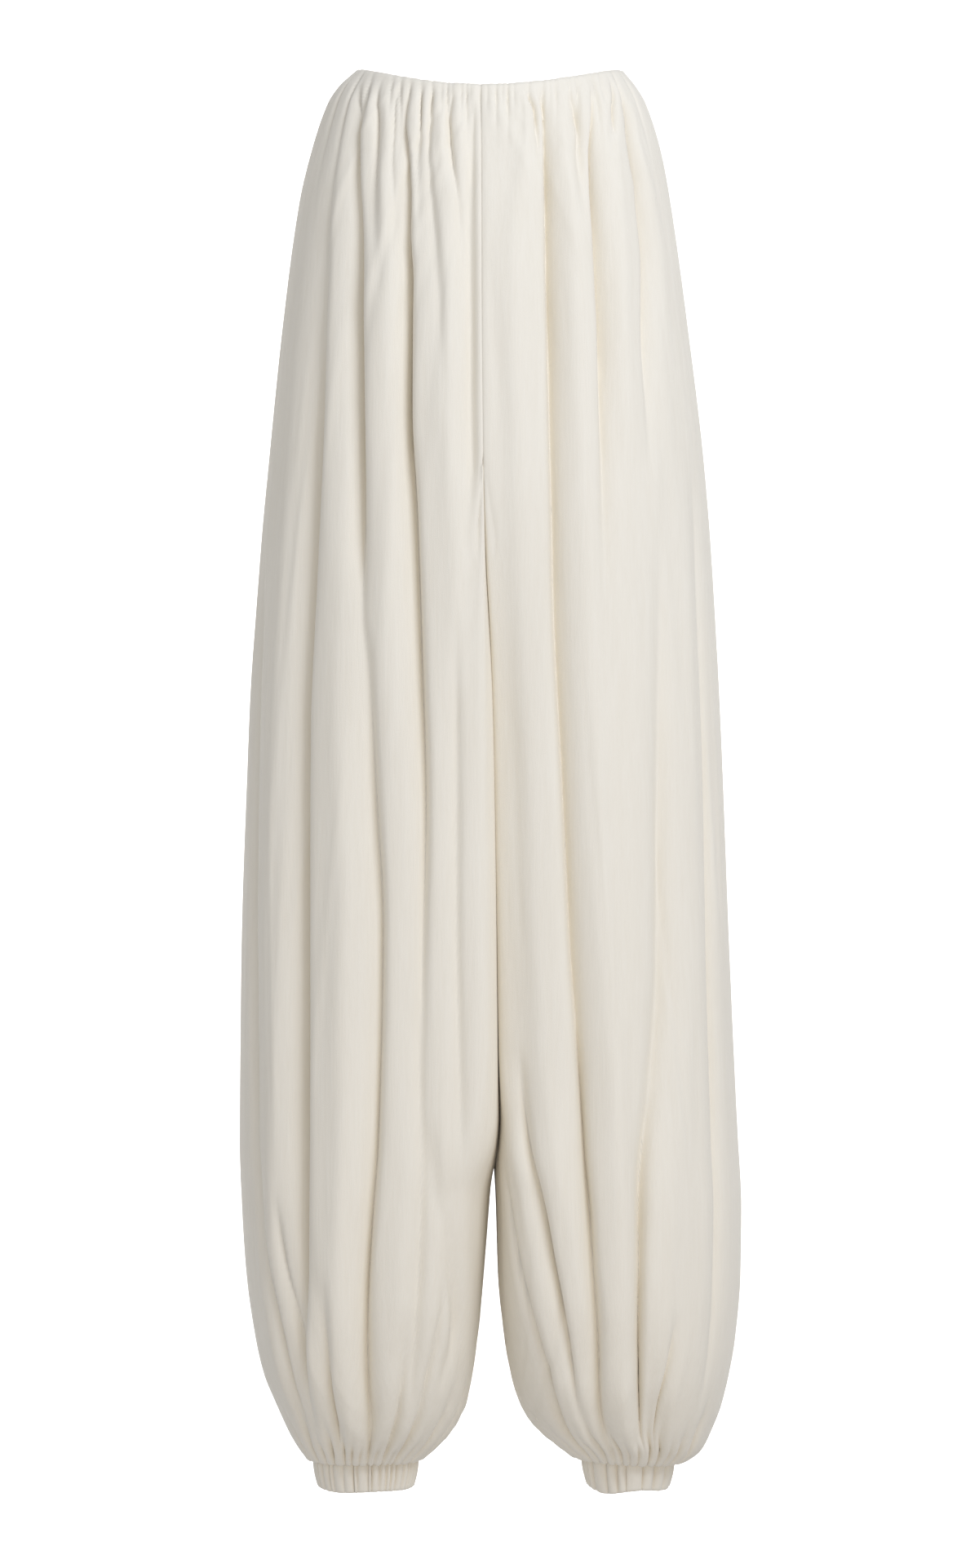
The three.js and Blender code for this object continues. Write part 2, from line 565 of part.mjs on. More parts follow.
// Turns a place of the lower row into the upper row's, so that a fold's columns agree.
function matcher(upper, lower, by) {
  const pairs = by === "place" ? [[0, 0], [1, 1], [2, 2]] : [[0, 0], [2, 2]];
  for (const [fold, spot] of lower.anchors[by]) {
    if (upper.anchors[by].has(fold)) pairs.push([spot, upper.anchors[by].get(fold)]);
  }
  pairs.sort((a, b) => a[0] - b[0]);
  const kept = pairs.filter(([, to], i) => i === 0 || to > Math.max(...pairs.slice(0, i).map((q) => q[1])));
  return (place) => {
    const k = clamp(kept.findIndex((pair) => pair[0] > place) - 1, 0, kept.length - 2);
    const [[a, c], [b, d]] = place >= kept.at(-1)[0] ? kept.slice(-2) : [kept[k], kept[k + 1]];
    return c + ((place - a) * (d - c)) / (b - a);
  };
}

// Adds the triangles between two rows of vertices whose places run the same way.
function stitch(faces, upper, lower, outwards) {
  let [i, j] = [0, 0];
  while (i < upper.ids.length - 1 || j < lower.ids.length - 1) {
    const nextUpper = i < upper.ids.length - 1 ? upper.places[i + 1] : Infinity;
    const nextLower = j < lower.ids.length - 1 ? lower.places[j + 1] : Infinity;
    const stepUpper = nextUpper <= nextLower + 1e-9;
    const third = stepUpper ? upper.ids[i + 1] : lower.ids[j + 1];
    const [a, b] = [upper.ids[i], lower.ids[j]];
    faces.push(outwards ? [a, b, third] : [b, a, third]);
    if (stepUpper) i++;
    else j++;
  }
}

// Closed wall from rows of outside and inside points.
function wallOf(rows, flip) {
  const points = [];
  const faces = [];
  const add = (list) => list.map((p) => points.push(p) - 1);
  const made = rows.map((row) => ({ ...row, out: add(row.out), in: add(row.in) }));
  const rim = (row, from, turned) => {
    for (let i = from; i + 1 < row.out.length; i++) {
      const [a, b, c, d] = [row.out[i], row.out[i + 1], row.in[i + 1], row.in[i]];
      faces.push(...(turned ? [[a, c, b], [a, d, c]] : [[a, b, c], [a, c, d]]));
    }
  };
  for (let r = 0; r + 1 < made.length; r++) {
    const [upper, lower] = [made[r], made[r + 1]];
    const alike = upper.gathers && upper.gathers === lower.gathers;
    const by = upper.level >= CROTCH_DROP ? "share" : "place";
    const match = matcher(upper, lower, by);
    const upperPlaces = upper.spots.map((spot, i) => (alike ? i : spot[by]));
    const lowerPlaces = lower.spots.slice(0, lower.main).map((spot, i) => (alike ? i : match(spot[by])));
    for (const side of ["out", "in"]) {
      const [above, below] = [upper[side], lower[side].slice(0, lower.main)];
      stitch(faces, { ids: above, places: upperPlaces }, { ids: below, places: lowerPlaces }, side === "out");
    }
    for (const [i, j, turned] of [[0, 0, true], [upper.out.length - 1, lower.main - 1, false]]) {
      const [a, b, c, d] = [upper.out[i], lower.out[j], lower.in[j], upper.in[i]];
      faces.push(...(turned ? [[a, c, b], [a, d, c]] : [[a, b, c], [a, c, d]]));
    }
    if (lower.out.length > lower.main) rim(lower, lower.main - 1, false);
  }
  rim(made[0], 0, false);
  rim(made.at(-1), 0, true);
  return geometryOf(points, flip ? faces.map(([a, b, c]) => [a, c, b]) : faces);
}

function geometryOf(points, faces) {
  const geometry = new THREE.BufferGeometry();
  geometry.setAttribute("position", new THREE.Float32BufferAttribute(points.flatMap((p) => p.toArray()), 3));
  geometry.setIndex(faces.flat());
  geometry.computeVertexNormals();
  return geometry;
}

// Wall of one leg panel: outside points, and inside points one cloth thickness behind them.
function legPanel(legName, face) {
  const leg = LEGS[legName];
  const faceSign = face === "front" ? -1 : 1;
  const rows = ROWS.map((row) => {
    const { spots, main, anchors, gathers } = columnsOf(legName, face, row);
    const out = [];
    const inside = [];
    spots.forEach(({ place, drop }, i) => {
      const section = sectionAt(leg, drop);
      const lengths = [0, 1, 2].map((p) => alongAt(section, face, p));
      const sideGap = SEAM_GAP / 2 / lengths[1];
      const inseamGap = SEAM_GAP / 2 / (lengths[2] - lengths[1]);
      const held = clamp(place, sideGap, 2 - inseamGap);
      const last = i >= main ? 2 : spots[main - 1].place;
      const point = clothPoint(legName, face, held, drop);
      const normal = clothNormal(legName, face, held, drop, last);
      const base = onSection(section, face, alongAt(section, face, held));
      const atSeam = i === 0 || i >= main - 1;
      const back = atSeam ? new THREE.Vector3(base.nx, base.ny, normal.z).normalize() : normal;
      out.push(point);
      inside.push(point.clone().addScaledVector(back, -CLOTH));
    });
    return { level: row.drop, spots, main, anchors, gathers, out, in: inside };
  });
  return wallOf(rows, leg.side * faceSign < 0);
}

// Closed ring wall: rows of outside and inside points that go once round.
function ringWall(rows) {
  const points = [];
  const faces = [];
  const ids = rows.map((row) => row.map((p) => points.push(p) - 1));
  for (let r = 0; r < ids.length; r++) {
    const [upper, lower] = [ids[r], ids[(r + 1) % ids.length]];
    for (let i = 0; i < upper.length; i++) {
      const next = (i + 1) % upper.length;
      faces.push([upper[i], lower[i], lower[next]], [upper[i], lower[next], upper[next]]);
    }
  }
  return geometryOf(points, faces);
}

// Elastic waist casing: a smooth band turned in behind the gathers, level with the waist edge.
function waistCasing() {
  const ring = (drop, inset) => {
    const points = [];
    for (let i = 0; i < CASING.columns; i++) {
      const angle = (2 * Math.PI * i) / CASING.columns;
      const leg = Math.cos(angle) < 0 ? LEGS.right : LEGS.left;
      const section = sectionAt(leg, drop);
      const wide = Math.abs(section.outX - section.turnX) - inset;
      const reach = { x: wide, y: (section.back - section.front) / 2 - inset };
      const bow = 2 / OUTER_POWER;
      const x = section.turnX + leg.side * reach.x * Math.abs(Math.cos(angle)) ** bow;
      const y = section.centre + Math.sign(Math.sin(angle)) * reach.y * Math.abs(Math.sin(angle)) ** bow;
      const face = Math.sin(angle) < 0 ? "front" : "back";
      points.push(new THREE.Vector3(x, y, section.z + levelShift(leg, face, section, x)));
    }
    return points;
  };
  const { height, wall, inset } = CASING;
  const outside = [ring(0.5, inset), ring(height * 0.35, inset), ring(height, inset)];
  const inside = [ring(height, inset + wall), ring(height * 0.35, inset + wall), ring(0.5, inset + wall)];
  return ringWall([...outside, ...inside]);
}

// Elastic ankle cuff: a pleated band below the gathered hem of the leg.
function ankleCuff(leg) {
  const { drop, z, front, back } = PROFILE.at(-1);
  const [top, centre] = [z - SEAM_GAP, (front + back) / 2];
  const columns = CUFF.pleats * CUFF.columns;
  const ring = (share, thickness, pleated) => {
    const half = leg.cuffTop + (leg.cuffFoot - leg.cuffTop) * share;
    const depth = (back - front) / 2 - 0.4 - (leg.cuffTop - half);
    const bulge = CUFF.bulge * Math.sin(Math.PI * share);
    return Array.from({ length: columns }, (_, i) => {
      const angle = (2 * Math.PI * i) / columns;
      const pleat = Math.floor(i / CUFF.columns);
      const deep = CUFF.pleatDepth * (0.6 + 0.8 * uneven(pleat, 17));
      const sunk = pleated && i % CUFF.columns === 0 ? deep : 0;
      const offset = bulge - thickness - sunk;
      const bow = 2 / OUTER_POWER;
      const [c, d] = [Math.cos(angle), Math.sin(angle)];
      const x = leg.cuffX + (half + offset) * Math.sign(c) * Math.abs(c) ** bow;
      const y = centre + (depth + offset) * Math.sign(d) * Math.abs(d) ** bow;
      const tilt = leg.tilt * (x - leg.cuffX) * (1 - share / 2);
      return new THREE.Vector3(x, y, top - CUFF.height * share + tilt);
    });
  };
  const outside = [0, 0.5, 1].map((share) => ring(share, share === 0.5 ? 0 : 0.4, true));
  const inside = [1, 0].map((share) => ring(share, CUFF.wall + CUFF.pleatDepth, false));
  return ringWall([...outside, ...inside]);
}

function named(name, geometry, material) {
  const mesh = new THREE.Mesh(geometry, material);
  mesh.name = name;
  return mesh;
}

const trousers = new THREE.Group();
for (const legName of ["right", "left"]) {
  for (const face of ["front", "back"]) {
    trousers.add(named(`${legName}_${face}_leg`, legPanel(legName, face), cloth));
  }
  trousers.add(named(`${legName}_ankle_cuff`, ankleCuff(LEGS[legName]), cuffCloth));
}
trousers.add(named("waist_casing", waistCasing(), casingCloth));

export default trousers;
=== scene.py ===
import math

import bpy
import numpy as np
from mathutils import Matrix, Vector


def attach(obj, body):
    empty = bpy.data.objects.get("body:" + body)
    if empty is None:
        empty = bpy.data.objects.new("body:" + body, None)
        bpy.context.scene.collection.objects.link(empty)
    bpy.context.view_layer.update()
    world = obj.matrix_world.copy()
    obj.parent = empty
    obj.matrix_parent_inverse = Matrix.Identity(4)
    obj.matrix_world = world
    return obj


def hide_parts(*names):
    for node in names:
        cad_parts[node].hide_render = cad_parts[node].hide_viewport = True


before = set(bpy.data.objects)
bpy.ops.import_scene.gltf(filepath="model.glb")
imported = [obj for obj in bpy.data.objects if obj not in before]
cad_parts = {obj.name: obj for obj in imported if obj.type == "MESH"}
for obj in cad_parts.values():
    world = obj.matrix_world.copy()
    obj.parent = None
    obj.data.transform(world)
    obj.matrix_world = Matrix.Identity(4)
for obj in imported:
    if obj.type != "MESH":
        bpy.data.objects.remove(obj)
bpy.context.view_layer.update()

# The four leg panels are soft ivory crepe. Each is cut wide, gathered on elastic at the waist
# and again into an ankle cuff, and hangs in long uneven folds between the two. Seams join them
# down both sides, down the centre front and back, and along the insides of the legs.
MM = 0.001
CLOTH_THICKNESS = 0.6

# All sizes are in millimetres. A drop is a distance down the cloth from the waist edge. The
# rise seam leaves the centre seam at one drop and reaches the crotch at another.
RISE_TURNS = 310
CROTCH = 380

# The cloth lies on level sections of each leg. Half a section is a bow from the side seam over
# the front or the back to the inner side. A bow's power is 2 for an ellipse, and more for a
# squarer corner.
SECTION_STEPS = 90
OUTER_POWER = 2.15
FACING = {"front": 1, "back": -1}

# Each row gives a section's drop, its height, its front and back, the share of its width where
# the front rounds over to the inner side, the middle between the legs, and the power of the
# inner side's bow.
PROFILE = ("drop", "z", "front", "back", "turn", "mid", "box")
PROFILE_ROWS = [
    (0, 0, -88, 82, 0, -6.5, 3.2),
    (12, -12, -93, 92, 0, -6.5, 3.2),
    (45, -45, -102, 106, 0, -6.5, 3.2),
    (105, -105, -112, 121, 0, -6.3, 3.2),
    (200, -200, -119, 133, 0, -6, 3.2),
    (310, -310, -121, 135, 0, -5, 3.6),
    (380, -380, -120, 133, 0.04, -3.8, 4.2),
    (520, -520, -118, 130, 0.12, -1.2, 4.4),
    (700, -700, -118, 128, 0.24, 1.2, 4.2),
    (880, -880, -117, 126, 0.36, 2.6, 3.7),
    (980, -980, -111, 119, 0.44, 2.6, 3.2),
    (1045, -1045, -98, 106, 0.5, 2.6, 2.7),
    (1085, -1084, -81, 89, 0.5, 2.6, 2.35),
    (1108, -1106, -64, 72, 0.5, 2.6, 2.2),
    (1120, -1114.5, -51, 59, 0.5, 2.6, 2.15),
    (1126, -1116.5, -46, 54, 0.5, 2.6, 2.15),
    (1132, -1114, -43.4, 51.4, 0.5, 2.6, 2.15),
]
HEM = PROFILE_ROWS[-1][0]

# Each row gives a drop, how far the side of the leg stands from the middle of the garment
# there, and how far its inner side stands from the centre seam.
OUTLINES = {
    "right": [
        (0, 107, 0.15), (12, 121, 0.15), (25, 130, 0.15), (65, 144, 0.15), (105, 153.5, 0.15),
        (205, 167, 0.15), (310, 177.5, 0.15), (380, 184, 0.15), (520, 193.5, 0.15),
        (730, 200.5, 0.2), (860, 201.3, 0.7), (915, 199.3, 4.4), (970, 195.5, 8.6),
        (1022, 188, 13), (1050, 181.5, 16.6), (1075, 171.5, 22), (1095, 162.5, 32.5),
        (1110, 154, 45), (1120, 148, 54.5), (1126, 145.6, 58), (1132, 143.6, 59.2),
    ],
    "left": [
        (0, 107, 0.15), (12, 117.5, 0.15), (25, 125.5, 0.15), (65, 138.5, 0.15), (105, 146, 0.15),
        (205, 160, 0.15), (310, 172.5, 0.15), (380, 178, 0.15), (520, 185.5, 0.15),
        (730, 194.5, 0.2), (860, 200.5, 0.8), (915, 203.2, 3.6), (970, 202.5, 5.2),
        (1022, 198, 10.4), (1050, 193, 14.6), (1075, 186.5, 21.5), (1095, 178, 33),
        (1110, 170, 50), (1120, 160, 62), (1126, 154, 67.4), (1132, 150.5, 70.9),
    ],
}
SIDES = {"right": -1, "left": 1}

# The waist edge dips at the middle of the front, and the left hem hangs lower on one side.
FRONT_DIP = 21
DIP_FADES_BY = 230
HEM_TILT = {"right": 0, "left": -0.05}
HEM_TILTS_FROM = 1000
CUFFS = {
    "right": {"x": -100, "top": 43, "foot": 39.5, "wave": 0.8},
    "left": {"x": 112, "top": 38, "foot": 34, "wave": 2.2},
}

# Long folds, each with its half-width, its lean and its path. A lean towards 1 makes the wall
# nearer the centre the steep one, and towards -1 the outer wall. A path runs down the cloth as
# (drop, share of the panel's width seen from the front, depth). A seam holds the cloth flat,
# except in a fold that lies on the centre seam itself, at share 0.
FOLDS = {
    "right_front": [
        (9, 0.8, [(3, 0.035, 0), (40, 0.038, 6), (190, 0.032, 9), (310, 0.03, 9), (350, 0.03, 5),
                  (405, 0.03, 0)]),
        (12, 0.7, [(2, 0.888, 1), (27, 0.78, 4), (64, 0.718, 7), (88, 0.687, 9), (118, 0.655, 11),
                   (149, 0.632, 13), (230, 0.59, 16), (370, 0.54, 12), (440, 0.527, 4),
                   (480, 0.497, 5), (580, 0.46, 10), (690, 0.425, 12), (840, 0.44, 13),
                   (960, 0.465, 15), (1040, 0.48, 13), (1085, 0.495, 8), (1122, 0.5, 0)]),
        (12, 0.8, [(2, 0.53, 1), (20, 0.489, 4), (37, 0.469, 5), (55, 0.432, 7), (77, 0.408, 9),
                   (100, 0.388, 11), (133, 0.38, 13), (173, 0.355, 16), (285, 0.335, 17),
                   (360, 0.3, 15), (460, 0.272, 14), (590, 0.25, 11), (720, 0.265, 7),
                   (850, 0.28, 0)]),
        (5, 0.2, [(2, 0.807, 2), (22, 0.745, 3), (45, 0.729, 2.5), (70, 0.7, 1.5), (95, 0.69, 0)]),
        (9, 0.2, [(1, 0.75, 2), (33, 0.649, 4.5), (57, 0.613, 5), (101, 0.573, 4.5),
                  (149, 0.535, 2.5), (190, 0.505, 0)]),
        (6, 0.2, [(1, 0.6, 2), (38, 0.539, 3), (69, 0.512, 3), (93, 0.486, 2.5), (160, 0.45, 0)]),
        (6, 0.2, [(1, 0.43, 2), (36, 0.376, 3), (64, 0.356, 3), (87, 0.33, 2.5), (150, 0.29, 0)]),
        (8, 0.2, [(1, 0.35, 2), (32, 0.322, 3.5), (62, 0.303, 4.5), (83, 0.281, 4.5),
                  (133, 0.239, 4), (182, 0.209, 3), (290, 0.17, 0)]),
        (6, 0.3, [(6, 0.195, 1), (26, 0.197, 3), (34, 0.192, 4), (63, 0.166, 4), (99, 0.128, 3),
                  (200, 0.09, 0)]),
        (14, 0.7, [(60, 0.84, 0), (200, 0.79, 7), (360, 0.757, 13), (515, 0.755, 15),
                   (685, 0.737, 16), (840, 0.73, 17), (955, 0.745, 14), (1035, 0.79, 8),
                   (1100, 0.82, 0)]),
        (8, 0.5, [(380, 0.975, 0), (530, 0.96, 6), (700, 0.94, 7), (850, 0.925, 6),
                  (980, 0.92, 0)]),
        (9, 0, [(840, 0.24, 0), (890, 0.21, 4), (940, 0.15, 4), (1000, 0.1, 5), (1060, 0.15, 0)]),
        (6, 0.7, [(860, 0.915, 0), (930, 0.9, 6), (1000, 0.87, 7), (1060, 0.86, 6),
                  (1105, 0.86, 0)]),
        (6, 0.5, [(900, 0.85, 0), (950, 0.833, 5), (1010, 0.8, 4), (1060, 0.79, 0)]),
        (7, 0.4, [(960, 0.65, 0), (1020, 0.66, 6), (1075, 0.68, 8), (1122, 0.7, 0)]),
        (7, 0, [(985, 0.31, 0), (1035, 0.32, 5), (1085, 0.35, 7), (1122, 0.36, 0)]),
        (8, 0.3, [(740, 0.29, 0), (860, 0.27, 5), (950, 0.258, 6), (1030, 0.27, 4),
                  (1090, 0.28, 0)]),
        (7, 0.3, [(430, 0.13, 0), (540, 0.125, 4), (690, 0.13, 5), (820, 0.12, 4), (900, 0.11, 0)]),
        (4, -0.6, [(930, 0.19, 0), (980, 0.165, 3), (1030, 0.2, 4), (1080, 0.24, 0)]),
    ],
    "left_front": [
        (12, 0.6, [(3, 0.39, 2), (15, 0.372, 4.5), (30, 0.366, 6), (54, 0.354, 9), (77, 0.344, 12),
                   (123, 0.334, 15), (205, 0.32, 16), (320, 0.304, 14), (440, 0.293, 14),
                   (555, 0.306, 15), (685, 0.32, 16), (800, 0.347, 14), (900, 0.371, 5),
                   (960, 0.39, 0)]),
        (11, -0.6, [(760, 0.337, 0), (850, 0.36, 8), (915, 0.375, 14), (1015, 0.398, 14),
                    (1085, 0.395, 9), (1122, 0.4, 0)]),
        (10, 0.6, [(2, 0.74, 2), (20, 0.68, 4), (36, 0.644, 6), (51, 0.618, 8), (66, 0.6, 10),
                   (116, 0.585, 12), (205, 0.565, 12), (285, 0.54, 9), (430, 0.51, 0)]),
        (10, 0.7, [(22, 0.86, 0), (39, 0.838, 9), (56, 0.818, 11), (75, 0.813, 13), (92, 0.821, 13),
                   (109, 0.817, 12), (145, 0.815, 11), (188, 0.792, 9), (225, 0.77, 7),
                   (330, 0.74, 0)]),
        (6, 0.4, [(3, 0.28, 0), (22, 0.312, 6), (41, 0.304, 5), (80, 0.3, 0)]),
        (10, 0, [(12, 0.561, 0), (26, 0.56, 5), (42, 0.558, 7), (68, 0.531, 6), (130, 0.52, 0)]),
        (6, 0.4, [(4, 0.862, 0), (14, 0.83, 5), (32, 0.773, 5), (55, 0.74, 0)]),
        (13, 0, [(330, 0.78, 0), (515, 0.74, 6), (605, 0.722, 8), (720, 0.7, 9), (840, 0.63, 9),
                 (915, 0.587, 5), (960, 0.585, 0)]),
        (9, -0.5, [(820, 0.64, 0), (915, 0.587, 9), (1015, 0.58, 14), (1075, 0.597, 10),
                   (1122, 0.61, 0)]),
        (8, -0.6, [(780, 0.1, 0), (870, 0.155, 10), (936, 0.21, 12), (1010, 0.265, 11),
                   (1085, 0.29, 0)]),
        (4, 0.5, [(860, 0.03, 0), (936, 0.065, 4), (1006, 0.125, 5), (1060, 0.17, 5),
                  (1115, 0.19, 0)]),
        (6, 0.5, [(990, 0.72, 0), (1030, 0.7, 6), (1075, 0.68, 8), (1122, 0.68, 0)]),
        (8, 0, [(300, 0.93, 0), (520, 0.93, 5), (740, 0.91, 7), (960, 0.89, 5), (1080, 0.87, 0)]),
    ],
    "right_back": [
        (8, 0, [(0, 0, 0), (40, 0, 4), (190, 0, 9), (310, 0, 10), (376, 0, 0)]),
        (12, 0.6, [(20, 0.33, 0), (105, 0.305, 9), (330, 0.275, 13), (550, 0.265, 14),
                   (770, 0.25, 12), (1000, 0.31, 11), (1118, 0.35, 0)]),
        (9, 0.4, [(15, 0.6, 0), (90, 0.565, 9), (230, 0.52, 11), (390, 0.5, 7), (500, 0.49, 0)]),
        (7, 0.5, [(30, 0.83, 0), (90, 0.8, 6), (210, 0.775, 8), (380, 0.75, 0)]),
        (12, -0.5, [(460, 0.49, 0), (640, 0.485, 12), (830, 0.48, 13), (1000, 0.5, 12),
                    (1120, 0.53, 0)]),
        (11, 0.4, [(330, 0.79, 0), (490, 0.775, 8), (690, 0.745, 13), (930, 0.725, 11),
                   (1120, 0.71, 0)]),
        (8, 0, [(250, 0.94, 0), (460, 0.935, 6), (750, 0.915, 7), (1080, 0.905, 0)]),
        (8, 0, [(890, 0.14, 0), (965, 0.155, 6), (1040, 0.18, 7), (1118, 0.21, 0)]),
    ],
    "left_back": [
        (8, 0, [(0, 0, 0), (40, 0, 4), (190, 0, 9), (310, 0, 10), (376, 0, 0)]),
        (12, 0.6, [(15, 0.31, 0), (100, 0.29, 9), (340, 0.26, 14), (560, 0.25, 14),
                   (760, 0.245, 12), (1000, 0.3, 11), (1120, 0.34, 0)]),
        (9, 0.4, [(20, 0.63, 0), (90, 0.59, 9), (240, 0.53, 12), (400, 0.51, 7), (520, 0.5, 0)]),
        (7, 0.5, [(35, 0.85, 0), (90, 0.82, 6), (200, 0.79, 8), (390, 0.76, 0)]),
        (12, -0.5, [(450, 0.47, 0), (620, 0.47, 12), (820, 0.47, 14), (1000, 0.49, 13),
                    (1120, 0.52, 0)]),
        (11, 0.4, [(320, 0.81, 0), (480, 0.79, 8), (700, 0.75, 13), (940, 0.73, 12),
                   (1120, 0.72, 0)]),
        (8, 0, [(260, 0.95, 0), (460, 0.94, 6), (760, 0.92, 8), (1080, 0.91, 0)]),
        (8, 0, [(880, 0.12, 0), (960, 0.14, 6), (1040, 0.17, 7), (1118, 0.2, 0)]),
    ],
}

# Gathers are creases that start at a sewn edge: (share of the panel's width, depth, run).
# The front ones are listed one by one, and the back ones are drawn unevenly in the same range.
WAIST_GATHERS = {
    "right_front": [
        (0.018, 1.8, 26), (0.085, 1.8, 16), (0.115, 3.4, 42), (0.155, 2.2, 24), (0.23, 2, 20),
        (0.266, 3.4, 46), (0.31, 2, 22), (0.385, 2.8, 34), (0.47, 3, 60), (0.555, 2.6, 26),
        (0.625, 3, 50), (0.69, 2.6, 30), (0.84, 2.8, 60), (0.915, 3, 110), (0.96, 2.8, 80),
    ],
    "left_front": [
        (0.04, 1.8, 18), (0.102, 3, 30), (0.145, 2, 16), (0.183, 3.6, 36), (0.225, 2, 18),
        (0.33, 2.4, 24), (0.43, 2.8, 30), (0.475, 2, 18), (0.515, 2.6, 26), (0.61, 2.4, 24),
        (0.66, 2.6, 32), (0.775, 3, 40), (0.815, 2.2, 22), (0.905, 2.8, 60), (0.96, 2.6, 50),
    ],
}
ANKLE_GATHERS = {
    "right_front": [
        (0.04, 3, 60), (0.12, 4, 52), (0.19, 2.6, 20), (0.255, 4.4, 62), (0.3, 2.6, 18),
        (0.35, 3.8, 30), (0.415, 3.4, 20), (0.47, 4.4, 90), (0.54, 2.4, 16), (0.6, 3.2, 22),
        (0.655, 3.6, 34), (0.745, 4, 32), (0.81, 2.8, 20), (0.88, 3.6, 46), (0.95, 3.2, 30),
    ],
    "left_front": [
        (0.04, 3.4, 34), (0.1, 3, 22), (0.17, 4.4, 90), (0.235, 2.6, 24), (0.3, 3.8, 46),
        (0.37, 2.8, 20), (0.435, 4.4, 40), (0.5, 2.4, 24), (0.57, 2.8, 20), (0.66, 4.4, 80),
        (0.73, 3.8, 46), (0.79, 2.4, 20), (0.85, 3, 26), (0.92, 3.6, 40),
    ],
}
FOLDS_DEEP_BY = 22
FOLDS_NARROW = {"waist": 0.3, "waist_from": -25, "waist_run": 190, "ankle": 0.6, "ankle_run": 130}
OVERHANG = 0.42

# A gather starts narrow and shallow at the stitches and spreads as it runs on, and the cloth
# between gathers stands up from the edge. Those of the back panels are drawn from a range.
WAIST_STITCHES = {"width": 1.05, "spread": 0.035, "deeper": 1, "lift": 1.2, "lift_run": 30}
ANKLE_STITCHES = {"width": 1.3, "spread": 0.085, "deeper": 2.1, "lift": 3.2, "lift_run": 16}
SHALLOW = {"share": 0.35, "run": 12}
GATHERS_FADE = 60
GATHER_COUNT = 15
GATHER_DEPTHS = (2.2, 4.2)
SHORTEST_RUN = 26
WAIST_LONGEST = 150
ANKLE_LONGEST = 60
HEM_ROLL = 9
FAINT_CREASES = 190
PANEL_SEEDS = {"right_front": 1, "left_front": 2, "right_back": 3, "left_back": 4}

# Cloth is held flat beside a seam and sinks into it. A panel's inner edge is the centre seam
# above the crotch and the inseam below it. The cloth turns from one to the other over the first
# of these drops, and the seam's hold and groove move over the second.
SEAM = {"held": 12, "groove": 0.9, "width": 2.2}
TURNS_OVER = 40
EDGE_OVER = 90

# The legs press together under the crotch. Their inner corners are nearly square there, their
# inner walls lie flat, and both walls lean towards the left leg behind its rounded front. The
# left leg's front is set back a little, and its corner reaches over to touch the right leg.
PRESS = {"start": 315, "stop": 900, "fade": 65, "front": -116, "turn": 18, "sway": 4.2,
         "slope": 0.05, "reach": 45, "deep_from": 10, "deep_run": 50}
CORNER = {"right": 16, "left": 14, "from": 312, "from_run": 60, "stop_run": 120}
WALL_FLAT = {"share": 0.85, "facing_from": 0.3, "facing_run": 0.5}
SET_BACK = {"right": 0, "left": 15, "width": 30, "run": 240, "deep_from": 20, "deep_run": 60}
TOUCH = {"right": 0, "left": 1.8, "width": 7, "behind": 17, "depth": 6}

# Mesh columns from the side seam to the front edge, and from there to the inseam, and rows as
# stretches of (first drop, last drop, steps), close together at both gathered edges.
COLUMNS_TO_EDGE = 144
COLUMNS_INSIDE = 72
ROW_STRETCHES = (
    (0, 60, 24), (60, RISE_TURNS, 46), (RISE_TURNS, 1000, 94), (1000, 1096, 24), (1096, HEM, 18))

# The edges are turned in behind the cloth, in rings of (how far in, the same at the waist, and
# how far up at the waist).
TURNED_EDGE = ((1, 0.8, 0.3), (2.6, 2.6, 0.4), (4.6, 4.4, -1), (6.5, 4.8, -9))


def smooth(share):
    """Eases from 0 to 1 as the share runs from 0 to 1."""
    t = np.clip(share, 0, 1)
    return t * t * (3 - 2 * t)


def curve(rows, column, at):
    """Smooth curve through one column of a table that never overshoots its points."""
    xs = np.array([row[0] for row in rows], float)
    ys = np.array([row[column] for row in rows], float)
    slope = np.diff(ys) / np.diff(xs)
    tangent = np.concatenate([slope[:1], slope])
    before, after = slope[:-1], slope[1:]
    same = before * after > 0
    total = np.where(same, before + after, 1)
    tangent[1:-1] = np.where(same, 2 * before * after / total, 0)
    i = np.clip(np.searchsorted(xs, at, side="right") - 1, 0, len(xs) - 2)
    width = xs[i + 1] - xs[i]
    t = np.clip((at - xs[i]) / width, 0, 1)
    a, b = tangent[i] * width, tangent[i + 1] * width
    rise = ys[i + 1] - ys[i]
    return ys[i] + t * (a + t * (3 * rise - 2 * a - b + t * (a + b - 2 * rise)))


def row_drops():
    """Drops of the rows of a panel's mesh."""
    rows = [np.linspace(start, stop, steps + 1)[:-1] for start, stop, steps in ROW_STRETCHES]
    return np.concatenate(rows + [[HEM]])


